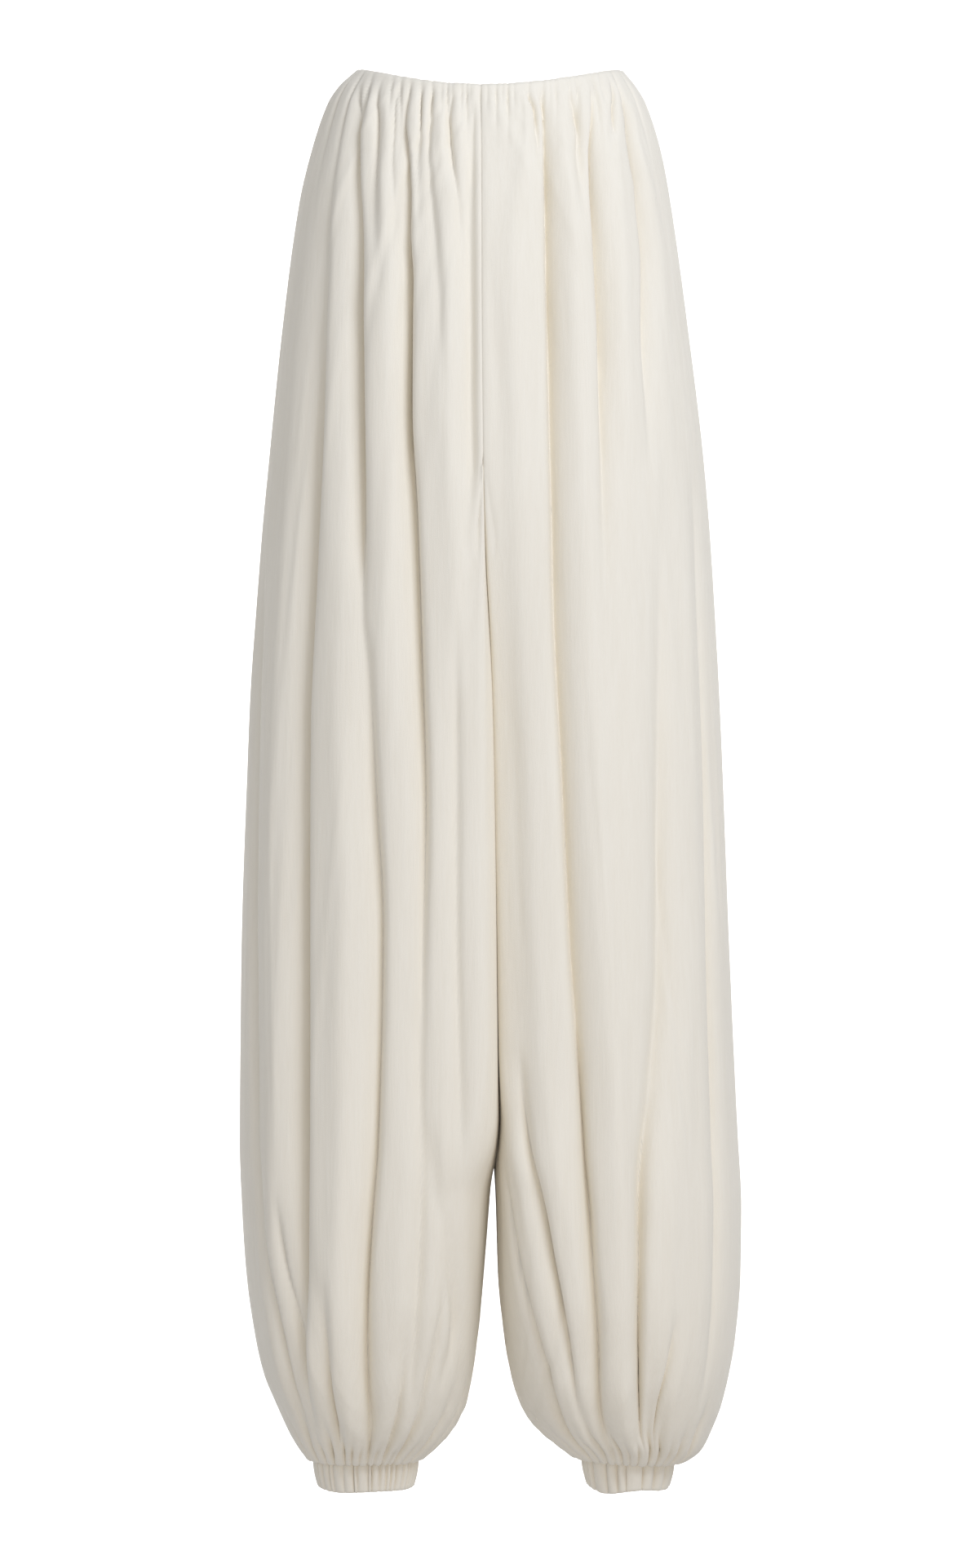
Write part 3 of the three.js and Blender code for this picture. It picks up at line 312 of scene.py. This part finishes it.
class Leg:
    """Sections of one leg at the given drops, with the sizes that the cloth is laid out by."""

    def __init__(self, name, drops):
        self.name = name
        self.side = SIDES[name]
        self.drops = drops
        read = {column: curve(PROFILE_ROWS, i, drops) for i, column in enumerate(PROFILE) if i}
        self.z, self.mid = read["z"], read["mid"]
        self.out_x = self.side * curve(OUTLINES[name], 1, drops)
        self.in_x = self.mid + self.side * curve(OUTLINES[name], 2, drops)
        turn_x = self.in_x + (self.out_x - self.in_x) * read["turn"]
        self.centre = (read["front"] + read["back"]) / 2
        self.size = (np.abs(self.out_x - self.in_x) + read["back"] - read["front"]) / 4
        self.halves = {}
        self.pressed = (smooth((drops - CORNER["from"]) / CORNER["from_run"])
                        * smooth((PRESS["stop"] - drops) / CORNER["stop_run"]))
        box = read["box"] + (CORNER[name] - read["box"]) * self.pressed
        angle = np.linspace(0, math.pi, 2 * SECTION_STEPS + 1)[None, :]
        outer = angle <= math.pi / 2 + 1e-9
        power = 2 / np.where(outer, OUTER_POWER, box[:, None])
        width = np.where(outer, (self.out_x - turn_x)[:, None], (self.in_x - turn_x)[:, None])
        x = turn_x[:, None] + width * np.abs(np.cos(angle)) ** power
        for face in ("front", "back"):
            reach = (read[face] - self.centre)[:, None]
            y = self.centre[:, None] + reach * np.abs(np.sin(angle)) ** power
            step = np.hypot(np.diff(x, axis=1), np.diff(y, axis=1))
            along = np.concatenate([np.zeros((len(drops), 1)), np.cumsum(step, axis=1)], axis=1)
            self.halves[face] = (x, y, along)

    def length(self, face, place):
        """Length of the half-section to the side seam's 0, the front's 1 or the inseam's 2."""
        return self.halves[face][2][:, place * SECTION_STEPS]

    def along_of_share(self, face, share):
        """Distance round the half-section for a share of the width seen from the front."""
        x, _, along = self.halves[face]
        wanted = self.in_x + (self.out_x - self.in_x) * share
        found = np.empty(len(self.drops))
        for r in range(len(found)):
            found[r] = np.interp(self.side * wanted[r], (self.side * x[r])[::-1], along[r][::-1])
        return np.where((share <= 0) & (self.drops < CROTCH), self.length(face, 1), found)


def trough(away, lean):
    """Cross-section of a fold: a narrow core in a wide valley, with one wall steeper."""
    wall = 1.15 - 0.6 * lean * np.tanh(away / 0.5)
    valley = 0.62 / (1 + (away / wall) ** 2) ** 2
    core = 0.5 * np.exp(-((np.abs(away) / (0.42 * wall)) ** 1.5))
    crest = 0.13 * np.exp(-(((np.abs(away) - 2.3) / 0.8) ** 2))
    return valley + core - crest


def gathers(rows, along, distance, stitches):
    """Creases that start at a sewn edge. Each row has its line, its depth and its run."""
    relief = np.zeros_like(along)
    for line, depth, run in rows:
        wide = stitches["width"] + stitches["spread"] * np.minimum(distance, run)
        away = (along - line) / wide
        fade = np.exp(-((distance / run) ** 2.2))
        relief -= stitches["deeper"] * depth * fade / (1 + away**2) ** 1.5
    lift = stitches["lift"] * np.exp(-distance / stitches["lift_run"])
    shallow = SHALLOW["share"] + (1 - SHALLOW["share"]) * smooth(distance / SHALLOW["run"])
    return relief * shallow + lift


def uneven_gathers(seed, longest):
    """Gathers of a back panel, as rows of (share of its width, depth, run)."""
    draw = np.random.default_rng(seed)
    places = (np.arange(GATHER_COUNT) + 0.5 + draw.uniform(-0.3, 0.3, GATHER_COUNT)) / GATHER_COUNT
    return [(place, draw.uniform(*GATHER_DEPTHS), SHORTEST_RUN + longest * draw.random() ** 2)
            for place in places]


def faint_creases(seed, span, drops, along):
    """Many faint ridges and troughs that run down the cloth, uneven in length and depth."""
    draw = np.random.default_rng(seed)
    relief = np.zeros_like(along)
    for _ in range(FAINT_CREASES):
        middle, level = draw.uniform(0, span), draw.uniform(-40, HEM)
        half, wide = draw.uniform(45, 190), draw.uniform(2.6, 8)
        deep, lean = draw.normal(0, 0.45), draw.normal(0, 0.03)
        down = (drops - level)[:, None] / half
        across = (along - middle - lean * half * down) / wide
        relief += deep * np.exp(-(down**4)) * np.exp(-(across**2))
    return relief


def slides(values, level):
    """Change from column to column. Above the crotch the cloth ends at the centre seam."""
    change = np.gradient(values, axis=1)
    edge = COLUMNS_TO_EDGE
    open_below = smooth((level[:, 0] - CROTCH) / TURNS_OVER)
    last_step = values[:, edge] - values[:, edge - 1]
    change[:, edge] = last_step * (1 - open_below) + change[:, edge] * open_below
    return change


def directions(leg, face, x, y, past_edge):
    """Level directions over one panel: along the cloth (tx, ty), and out of it (nx, ny)."""
    level = leg.drops[:, None]
    slide_x, slide_y = slides(x, level), slides(y, level)
    long = np.maximum(np.hypot(slide_x, slide_y), 1e-6)
    tx, ty = slide_x / long, slide_y / long
    turn = leg.side * FACING[face]
    nx, ny = -turn * ty, turn * tx
    held = np.where(past_edge, 1 - smooth((level - CROTCH) / TURNS_OVER), 0)
    return tx, ty, nx * (1 - held), ny * (1 - held) - FACING[face] * held


def long_folds(leg, face, along, free):
    """Relief of the long folds over one panel, and how far their steep walls lean over."""
    drops, facing = leg.drops, FACING[face]
    waist = smooth((drops - FOLDS_NARROW["waist_from"]) / FOLDS_NARROW["waist_run"])
    ankle = smooth((HEM - drops) / FOLDS_NARROW["ankle_run"])
    narrow = ((FOLDS_NARROW["waist"] + (1 - FOLDS_NARROW["waist"]) * waist)
              * (FOLDS_NARROW["ankle"] + (1 - FOLDS_NARROW["ankle"]) * ankle))[:, None]
    below = drops[:, None] >= CROTCH
    girth = (leg.length("front", 2) + leg.length("back", 2))[:, None]
    relief, push = np.zeros_like(along), np.zeros_like(along)
    for other, sign in FACING.items():
        for wide, lean, path in FOLDS[f"{leg.name}_{other}"]:
            live = (drops > path[0][0]) & (drops < path[-1][0])
            depth = np.where(live, curve(path, 2, drops), 0) * smooth(drops / FOLDS_DEEP_BY)
            spot = sign * leg.along_of_share(other, curve(path, 1, drops))
            straight = facing * along - spot[:, None]
            round_it = np.where(below, np.abs(girth - np.abs(straight)), np.inf)
            direct = np.abs(straight) <= round_it
            away = np.where(direct, facing * straight, round_it) / (wide * narrow)
            deep = depth[:, None] * (1 if path[0][1] == 0 else free)
            relief -= deep * trough(away, lean if other == face else 0)
            if other == face:
                wall = np.exp(-(((away - 0.8 * np.sign(lean)) / 0.75) ** 2))
                push -= OVERHANG * lean * deep * wall
    return relief, push


def share_at_hem(leg, face, share):
    """Share of the panel's cloth, from the side seam, for a share of the width at the hem."""
    x, _, along = leg.halves[face]
    wanted = leg.in_x[-1] + (leg.out_x[-1] - leg.in_x[-1]) * share
    reached = np.interp(leg.side * wanted, (leg.side * x[-1])[::-1], along[-1][::-1])
    return reached / along[-1][-1]


def edge_gathers(leg, face, along, whole):
    """Relief of the gathers under the waist edge, which hang plumb, and above the hem."""
    level, key = leg.drops[:, None], f"{leg.name}_{face}"
    seed = PANEL_SEEDS[key]
    reach = np.abs(leg.out_x - leg.in_x)
    top, foot = [], []
    for share, depth, run in WAIST_GATHERS.get(key) or uneven_gathers(seed, WAIST_LONGEST):
        plumb = share * (reach[0] / reach) ** (1 - share**4)
        top.append((leg.along_of_share(face, plumb)[:, None], depth, run))
    for share, depth, run in ANKLE_GATHERS.get(key) or uneven_gathers(seed + 20, ANKLE_LONGEST):
        foot.append((share_at_hem(leg, face, share) * whole, depth, run))
    above = np.maximum(HEM - level - HEM_ROLL, 0)
    at_waist = gathers(top, along, level, WAIST_STITCHES) * smooth((CROTCH - level) / GATHERS_FADE)
    at_ankle = gathers(foot, along, above, ANKLE_STITCHES) * smooth((HEM - level) / HEM_ROLL)
    return at_waist + at_ankle * smooth((level - CROTCH) / GATHERS_FADE)


def press_together(leg, face, x, y):
    """How far the cloth sways sideways where the legs meet, and y with the front set back."""
    level, from_inner = leg.drops[:, None], x - leg.in_x[:, None]
    ends = smooth((PRESS["stop"] - level) / PRESS["fade"])
    down = smooth((level - PRESS["start"]) / PRESS["fade"]) * ends
    if face == "front":
        inner = np.exp(-((from_inner / SET_BACK["width"]) ** 2))
        lag = smooth((level - PRESS["start"]) / SET_BACK["run"]) * ends
        forward = smooth((-y - SET_BACK["deep_from"]) / SET_BACK["deep_run"])
        y = y + SET_BACK[leg.name] * inner * lag * forward
    behind = y - PRESS["front"]
    near = np.exp(-(((x - leg.mid[:, None]) / PRESS["reach"]) ** 2))
    leans = (PRESS["sway"] * smooth(behind / PRESS["turn"])
             + PRESS["slope"] * np.maximum(behind - PRESS["turn"], 0))
    corner = np.exp(-((from_inner / TOUCH["width"]) ** 2)
                    - ((behind - TOUCH["behind"]) / TOUCH["depth"]) ** 2)
    forward = smooth((-y - PRESS["deep_from"]) / PRESS["deep_run"])
    sway = near * down * forward * leans - TOUCH[leg.name] * corner * down
    return sway, y


def panel_points(leg, face):
    """Points and normals of one panel in rows down the cloth, from the side seam inwards."""
    level = leg.drops[:, None]
    to_edge, whole = leg.length(face, 1)[:, None], leg.length(face, 2)[:, None]
    near_share = np.linspace(0, 1, COLUMNS_TO_EDGE + 1)
    far_share = np.linspace(0, 1, COLUMNS_INSIDE + 1)[1:]
    along = np.concatenate([to_edge * near_share, to_edge + (whole - to_edge) * far_share], axis=1)
    past_edge = along > to_edge
    half_x, half_y, half_along = leg.halves[face]
    rows = range(len(leg.drops))
    x = np.array([np.interp(along[r], half_along[r], half_x[r]) for r in rows])
    y = np.array([np.interp(along[r], half_along[r], half_y[r]) for r in rows])
    tx, ty, nx, ny = directions(leg, face, x, y, past_edge)

    last = to_edge + (whole - to_edge) * smooth((level - CROTCH) / EDGE_OVER)
    seam = np.where(past_edge, np.abs(whole - along), np.abs(last - along))
    seam_away = np.minimum(along, seam)
    free = smooth(seam_away / SEAM["held"])
    relief, push = long_folds(leg, face, along, free)
    relief += edge_gathers(leg, face, along, whole)
    seed = PANEL_SEEDS[f"{leg.name}_{face}"] + 90
    relief += free * faint_creases(seed, whole.max(), leg.drops, along)
    sideways = smooth((np.abs(nx) - WALL_FLAT["facing_from"]) / WALL_FLAT["facing_run"])
    relief *= 1 - WALL_FLAT["share"] * sideways * past_edge * leg.pressed[:, None]
    relief -= SEAM["groove"] * np.exp(-((seam_away / SEAM["width"]) ** 2))

    sway, y = press_together(leg, face, x, y)
    slope = np.arctan2(np.gradient(leg.size), -np.gradient(leg.z))[:, None]
    across = np.clip((x - leg.in_x[:, None]) / (leg.out_x - leg.in_x)[:, None], 0, 1)
    dip = FRONT_DIP * (1 - across**2) if face == "front" else 0
    tilted = smooth((level - HEM_TILTS_FROM) / (HEM - HEM_TILTS_FROM))
    tilt = HEM_TILT[leg.name] * (x - CUFFS[leg.name]["x"]) * tilted
    z = leg.z[:, None] + relief * np.sin(slope) + tilt - dip * (1 - smooth(level / DIP_FADES_BY))
    stand = relief * np.cos(slope)
    points = np.stack([x + nx * stand + tx * push + sway, y + ny * stand + ty * push, z], axis=2)
    normals = np.stack([nx * np.cos(slope), ny * np.cos(slope), np.sin(slope) + 0 * nx], axis=2)
    return points, normals


def below_the_rise(points, drops, start):
    """Lets the columns inside the leg start at the rise seam, which curves under the body."""
    part_way = np.linspace(0, 1, COLUMNS_INSIDE + 1)[1:]
    rise = RISE_TURNS + (CROTCH - RISE_TURNS) * np.sqrt(1 - (1 - part_way) ** 2)
    down = (drops[start:] - RISE_TURNS) / (HEM - RISE_TURNS)
    moved = points[start:].copy()
    for i, top in enumerate(rise):
        c = COLUMNS_TO_EDGE + 1 + i
        at = top + (HEM - top) * down
        for axis in range(3):
            moved[:, c, axis] = np.interp(at, drops, points[:, c, axis])
    return moved


def panel_mesh(name, leg, face):
    """A panel with its four sewn edges turned in behind the cloth."""
    points, normals = panel_points(leg, face)
    start = int(np.searchsorted(leg.drops, RISE_TURNS))
    rows, columns = points.shape[:2]
    for grid in (points, normals):
        grid[start:] = below_the_rise(grid, leg.drops, start)
    index = np.arange(rows * columns).reshape(rows, columns)
    edge = COLUMNS_TO_EDGE
    quads = []
    for block in (index[:, : edge + 1], index[start:, edge:]):
        corners = [block[:-1, :-1], block[1:, :-1], block[1:, 1:], block[:-1, 1:]]
        quads.append(np.stack(corners, axis=2).reshape(-1, 4))
    loop = np.concatenate([
        index[0, :edge], index[:start, edge], index[start, edge:-1],
        index[start:-1, -1], index[-1, :0:-1], index[:0:-1, 0]])
    at_waist = np.isin(loop, index[0, : edge + 1])[:, None]
    places, ways = points.reshape(-1, 3), normals.reshape(-1, 3)
    rings, found = [loop], [places]
    for inward, waist_in, up in TURNED_EDGE:
        ring = places[loop] - np.where(at_waist, waist_in, inward) * ways[loop]
        found.append(ring + np.where(at_waist, up, 0) * np.array([0, 0, 1.0]))
        rings.append(rows * columns + np.arange(len(loop)) + (len(rings) - 1) * len(loop))
    for near, far in zip(rings, rings[1:]):
        quads.append(np.stack([near, np.roll(near, -1), np.roll(far, -1), far], axis=1))
    flip = leg.side * FACING[face] < 0
    return cloth_object(name, np.concatenate(found), np.concatenate(quads), flip)


def cloth_object(name, points, quads, flip):
    """An object of quads, in metres, without the points that no quad uses."""
    used, quads = np.unique(quads, return_inverse=True)
    quads = quads.reshape(-1, 4)
    if flip:
        quads = quads[:, ::-1]
    mesh = bpy.data.meshes.new(name)
    mesh.from_pydata((points[used] * MM).tolist(), [], quads.tolist())
    mesh.polygons.foreach_set("use_smooth", [True] * len(mesh.polygons))
    piece = bpy.data.objects.new(name, mesh)
    bpy.context.scene.collection.objects.link(piece)
    return piece


def thicken(piece, thickness):
    """Gives the cloth its thickness, behind the face that shows."""
    shell = piece.modifiers.new("cloth thickness", "SOLIDIFY")
    shell.thickness = thickness * MM
    shell.offset = -1
    return piece


class Thread:
    """A socket of a material. Arithmetic on it adds Math nodes."""

    def __init__(self, tree, socket):
        self.tree = tree
        self.socket = socket

    def node(self, kind, settings, sockets, output=0):
        """Adds any other node: its settings first, and then its sockets' values or links."""
        made = self.tree.nodes.new(kind)
        for setting, value in settings.items():
            setattr(made, setting, value)
        for socket, value in sockets.items():
            if isinstance(value, Thread):
                self.tree.links.new(value.socket, made.inputs[socket])
            else:
                made.inputs[socket].default_value = value
        return Thread(self.tree, made.outputs[output])

    def math(self, operation, *values):
        return self.node("ShaderNodeMath", {"operation": operation}, dict(enumerate(values)))

    def __add__(self, other):
        return self.math("ADD", self, other)

    def __mul__(self, other):
        return self.math("MULTIPLY", self, other)

    __radd__ = __add__
    __rmul__ = __mul__


def crepe(name, light, dark):
    """Soft ivory crepe: faint crinkled streaks down the cloth and a fine pebbled weave."""
    material = bpy.data.materials.new(name)
    material.use_nodes = True
    tree = material.node_tree
    shader = tree.nodes["Principled BSDF"]
    place = Thread(tree, tree.nodes.new("ShaderNodeTexCoord").outputs["Object"])
    stretched = place.node("ShaderNodeMapping", {}, {"Vector": place, "Scale": (1, 1, 0.09)})
    crinkle = place.node("ShaderNodeTexNoise", {}, {
        "Vector": stretched, "Scale": 420, "Detail": 3, "Roughness": 0.6})
    streak = place.node("ShaderNodeTexNoise", {}, {
        "Vector": stretched, "Scale": 95, "Detail": 3, "Roughness": 0.55})
    pebble = place.node("ShaderNodeTexNoise", {}, {
        "Vector": place, "Scale": 1500, "Detail": 2, "Roughness": 0.5})
    patch = place.node("ShaderNodeTexNoise", {}, {
        "Vector": place, "Scale": 7, "Detail": 2, "Roughness": 0.5})
    tone = 0.35 * streak + 0.45 * crinkle + 0.2 * patch
    colour = place.node("ShaderNodeMix", {"data_type": "RGBA"}, {
        0: tone, 6: (*dark, 1), 7: (*light, 1)}, output=2)
    height = 0.55 * streak + 0.3 * crinkle + 0.15 * pebble
    bump = place.node("ShaderNodeBump", {}, {"Height": height, "Strength": 0.5, "Distance": 0.0012})
    rough = 0.66 + 0.16 * crinkle
    tree.links.new(colour.socket, shader.inputs["Base Color"])
    tree.links.new(rough.socket, shader.inputs["Roughness"])
    tree.links.new(bump.socket, shader.inputs["Normal"])
    shader.inputs["Sheen Weight"].default_value = 0.12
    shader.inputs["Sheen Roughness"].default_value = 0.5
    shader.inputs["Specular IOR Level"].default_value = 0.25
    return material


IVORY_LIGHT = (0.905, 0.855, 0.745)
IVORY_DARK = (0.8, 0.735, 0.608)
ivory = crepe("ivory crepe", IVORY_LIGHT, IVORY_DARK)
drops = row_drops()
for leg_name in ("right", "left"):
    leg = Leg(leg_name, drops)
    for face in ("front", "back"):
        node = f"{leg_name}_{face}_leg"
        piece = thicken(panel_mesh(f"{node}_cloth", leg, face), CLOTH_THICKNESS)
        piece.data.materials.append(ivory)
        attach(piece, "root")
        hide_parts(node)

# The elastic waist casing is the top of the same cloth, turned in behind the gathers and
# stitched down round the elastic, so only its crinkled inner face shows in the open waist.
CASING = {"height": 32, "inset": 5.4, "columns": 480, "rows": 14, "crinkle": 0.8, "waves": 6,
          "thickness": 1.6}


def casing_points():
    """Level rings just inside the waist edge, crinkled by the elastic."""
    angle = np.linspace(0, 2 * math.pi, CASING["columns"], endpoint=False)
    levels = np.linspace(1.0, CASING["height"], CASING["rows"])
    draw = np.random.default_rng(21)
    phase, beat = draw.uniform(0, 6.28, CASING["waves"]), draw.integers(36, 96, CASING["waves"])
    puff = sum(np.sin(b * angle + p) for b, p in zip(beat, phase)) / CASING["waves"]
    puff = puff * CASING["crinkle"]
    c, s = np.cos(angle), np.sin(angle)
    side = np.where(c >= 0, 1, -1)
    bow = 2 / OUTER_POWER
    right, left = Leg("right", levels), Leg("left", levels)
    rings = []
    for r, level in enumerate(levels):
        in_x = np.where(side > 0, left.in_x[r], right.in_x[r])
        reach = np.abs(np.where(side > 0, left.out_x[r], right.out_x[r]) - in_x) - CASING["inset"]
        half_y = left.halves["back"][1][r].max() - left.centre[r] - CASING["inset"]
        x = in_x + side * (reach + puff) * np.abs(c) ** bow
        y = left.centre[r] + (half_y + puff) * np.sign(s) * np.abs(s) ** bow
        share = np.clip((x - in_x) / (side * (reach + CASING["inset"])), 0, 1)
        dip = np.where(s < 0, FRONT_DIP * (1 - share**2), 0) * (1 - smooth(level / DIP_FADES_BY))
        rings.append(np.stack([x, y, left.z[r] - dip], axis=1))
    return np.array(rings)


def tube(name, rows):
    """A closed round band through rows of points."""
    index = np.arange(rows.shape[0] * rows.shape[1]).reshape(rows.shape[:2])
    after = np.roll(index, -1, axis=1)
    quads = np.stack([index[:-1], index[1:], after[1:], after[:-1]], axis=2).reshape(-1, 4)
    return cloth_object(name, rows.reshape(-1, 3), quads, flip=False)


casing = thicken(tube("waist_casing_cloth", casing_points()), CASING["thickness"])
casing.data.materials.append(ivory)
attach(casing, "root")
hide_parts("waist_casing")

# The ankle cuffs are folded bands of the same cloth round a wide elastic, which draws them
# into close upright pleats. The hem of the leg is sewn into the top edge of each band.
CUFF = {"height": 27, "columns": 420, "rows": 15, "bulge": 1.3, "thickness": 0.5,
        "below_hem": 0.3, "inside_hem": 0.4}
PLEATS = {
    "right": {"count": 42, "depth": 4.4, "seed": 5},
    "left": {"count": 22, "depth": 5.6, "seed": 8},
}

# Before and after its face, a band runs behind the hem and turns up inside the cuff, as
# (share of the height, distance in from the face).
BAND_START = [(0, 3.5), (-0.04, 1.2)]
BAND_END = [(1.03, 1.2), (1.02, 2.4), (0.6, 2.8), (0.05, 2.8)]


def cuff_points(name):
    """Level rings of one cuff, from behind the hem down its face and up again inside."""
    cuff, pleats = CUFFS[name], PLEATS[name]
    draw = np.random.default_rng(pleats["seed"])
    angle = np.linspace(0, 2 * math.pi, CUFF["columns"], endpoint=False)
    width = draw.uniform(0.45, 1.75, pleats["count"])
    ends = np.concatenate([[0], np.cumsum(width)]) / width.sum() * 2 * math.pi
    k = np.clip(np.searchsorted(ends, angle, side="right") - 1, 0, pleats["count"] - 1)
    t = (angle - ends[k]) / (ends[k + 1] - ends[k])
    deep = draw.uniform(0.45, 1.25, pleats["count"])[k] * pleats["depth"]
    valley = 1 - np.sin(math.pi * np.clip(t, 0, 1)) ** 0.55
    front, back = PROFILE_ROWS[-1][2], PROFILE_ROWS[-1][3]
    centre, half_y = (front + back) / 2, (back - front) / 2
    top = PROFILE_ROWS[-1][1] - CUFF["below_hem"]
    c, s = np.cos(angle), np.sin(angle)
    bow = 2 / OUTER_POWER
    rings = []
    face = [(share, 0) for share in np.linspace(0, 1, CUFF["rows"])]
    for share, inward in BAND_START + face + BAND_END:
        within = min(max(share, 0), 1)
        half = cuff["top"] + (cuff["foot"] - cuff["top"]) * within
        middle = math.sin(math.pi * within)
        behind = 1 if inward < 2 else 0.6
        out = CUFF["bulge"] * middle - inward - deep * valley * (0.6 + 0.4 * middle) * behind
        x = cuff["x"] + (half + out) * np.sign(c) * np.abs(c) ** bow
        deep_y = half_y - CUFF["inside_hem"] - (cuff["top"] - half)
        y = centre + (deep_y + out) * np.sign(s) * np.abs(s) ** bow
        wave = cuff["wave"] * share * np.sin(3 * angle + 1.9) * np.sin(angle + 0.4)
        tilt = HEM_TILT[name] * (x - cuff["x"]) * (1 - share / 2)
        z = top - CUFF["height"] * share + wave + tilt
        rings.append(np.stack([x, y, z], axis=1))
    return np.array(rings)


for leg_name in PLEATS:
    node = f"{leg_name}_ankle_cuff"
    piece = thicken(tube(f"{node}_cloth", cuff_points(leg_name)), CUFF["thickness"])
    piece.data.materials.append(ivory)
    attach(piece, "root")
    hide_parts(node)

# A pale studio: a white paper sweep behind and below, one broad cool light from the front
# right, weaker ones from the left and from low in front that open the shadows, and a long one
# that whitens the paper.
SWEEP = {"floor": -1.45, "half_width": 6.0, "front": 0.9, "bend": 3.8, "radius": 1.4, "top": 5.0,
         "steps": 12}
sweep_points = []
for x in (-SWEEP["half_width"], SWEEP["half_width"]):
    sweep_points += [(x, SWEEP["front"], SWEEP["floor"]), (x, SWEEP["bend"], SWEEP["floor"])]
    for i in range(1, SWEEP["steps"] + 1):
        turn = math.pi / 2 * i / SWEEP["steps"]
        away, up = SWEEP["radius"] * math.sin(turn), SWEEP["radius"] * (1 - math.cos(turn))
        sweep_points.append((x, SWEEP["bend"] + away, SWEEP["floor"] + up))
    sweep_points.append((x, SWEEP["bend"] + SWEEP["radius"], SWEEP["top"]))
half = len(sweep_points) // 2
sweep_mesh = bpy.data.meshes.new("studio sweep")
strips = [(i, half + i, half + i + 1, i + 1) for i in range(half - 1)]
sweep_mesh.from_pydata(sweep_points, [], strips)
sweep_mesh.polygons.foreach_set("use_smooth", [True] * len(sweep_mesh.polygons))
sweep = bpy.data.objects.new("studio_sweep", sweep_mesh)
bpy.context.scene.collection.objects.link(sweep)
paper = bpy.data.materials.new("white paper")
paper.use_nodes = True
paper_shader = paper.node_tree.nodes["Principled BSDF"]
paper_shader.inputs["Base Color"].default_value = (0.9, 0.885, 0.86, 1)
paper_shader.inputs["Roughness"].default_value = 0.9
sweep.data.materials.append(paper)

world = bpy.data.worlds.new("studio")
world.use_nodes = True
sky = world.node_tree.nodes["Background"]
sky.inputs["Color"].default_value = (0.92, 0.94, 1.0, 1)
sky.inputs["Strength"].default_value = 0.51
bpy.context.scene.world = world
bpy.context.scene.view_settings.view_transform = "Standard"


def soft_light(name, place, aim, size, watts, colour=(1, 1, 1)):
    """A rectangular light at a place, turned towards its aim, that no view shows."""
    lamp = bpy.data.lights.new(name, "AREA")
    lamp.shape = "RECTANGLE"
    lamp.size, lamp.size_y = size
    lamp.energy = watts
    lamp.color = colour
    holder = bpy.data.objects.new(name, lamp)
    holder.location = place
    holder.rotation_euler = (Vector(aim) - Vector(place)).to_track_quat("-Z", "Y").to_euler()
    holder.visible_camera = False
    bpy.context.scene.collection.objects.link(holder)


MIDDLE = (0, 0, -0.574)
soft_light("key", (1.25, -1.9, 1.15), (0, 0, -0.1), (1.2, 1.2), 41, (0.82, 0.878, 1))
soft_light("fill", (-2.6, -2.2, 0.2), MIDDLE, (2.0, 2.0), 9, (0.88, 0.92, 1))
soft_light("bounce", (0.5, -2.2, -1.6), (0, 0, -0.9), (1.6, 0.8), 8.5, (1, 0.88, 0.76))
soft_light("backdrop", (0, 0.9, 1.0), (0, 4.6, -0.3), (5, 0.6), 240)

# The camera looks level at the middle of the garment from four metres, so that the frame's
# height spans as much of the garment's plane as the photograph does.
CAMERA_AWAY = 4.0
FRAME_ROWS = 1922
METRES_A_ROW = 0.00066
SENSOR = 24
view = bpy.data.cameras.new("camera")
view.sensor_fit = "VERTICAL"
view.sensor_height = SENSOR
view.lens = SENSOR / (FRAME_ROWS * METRES_A_ROW / CAMERA_AWAY)
camera = bpy.data.objects.new("camera", view)
camera.location = (0, -CAMERA_AWAY, MIDDLE[2])
camera.rotation_euler = (math.pi / 2, 0, 0)
bpy.context.scene.collection.objects.link(camera)
bpy.context.scene.camera = camera
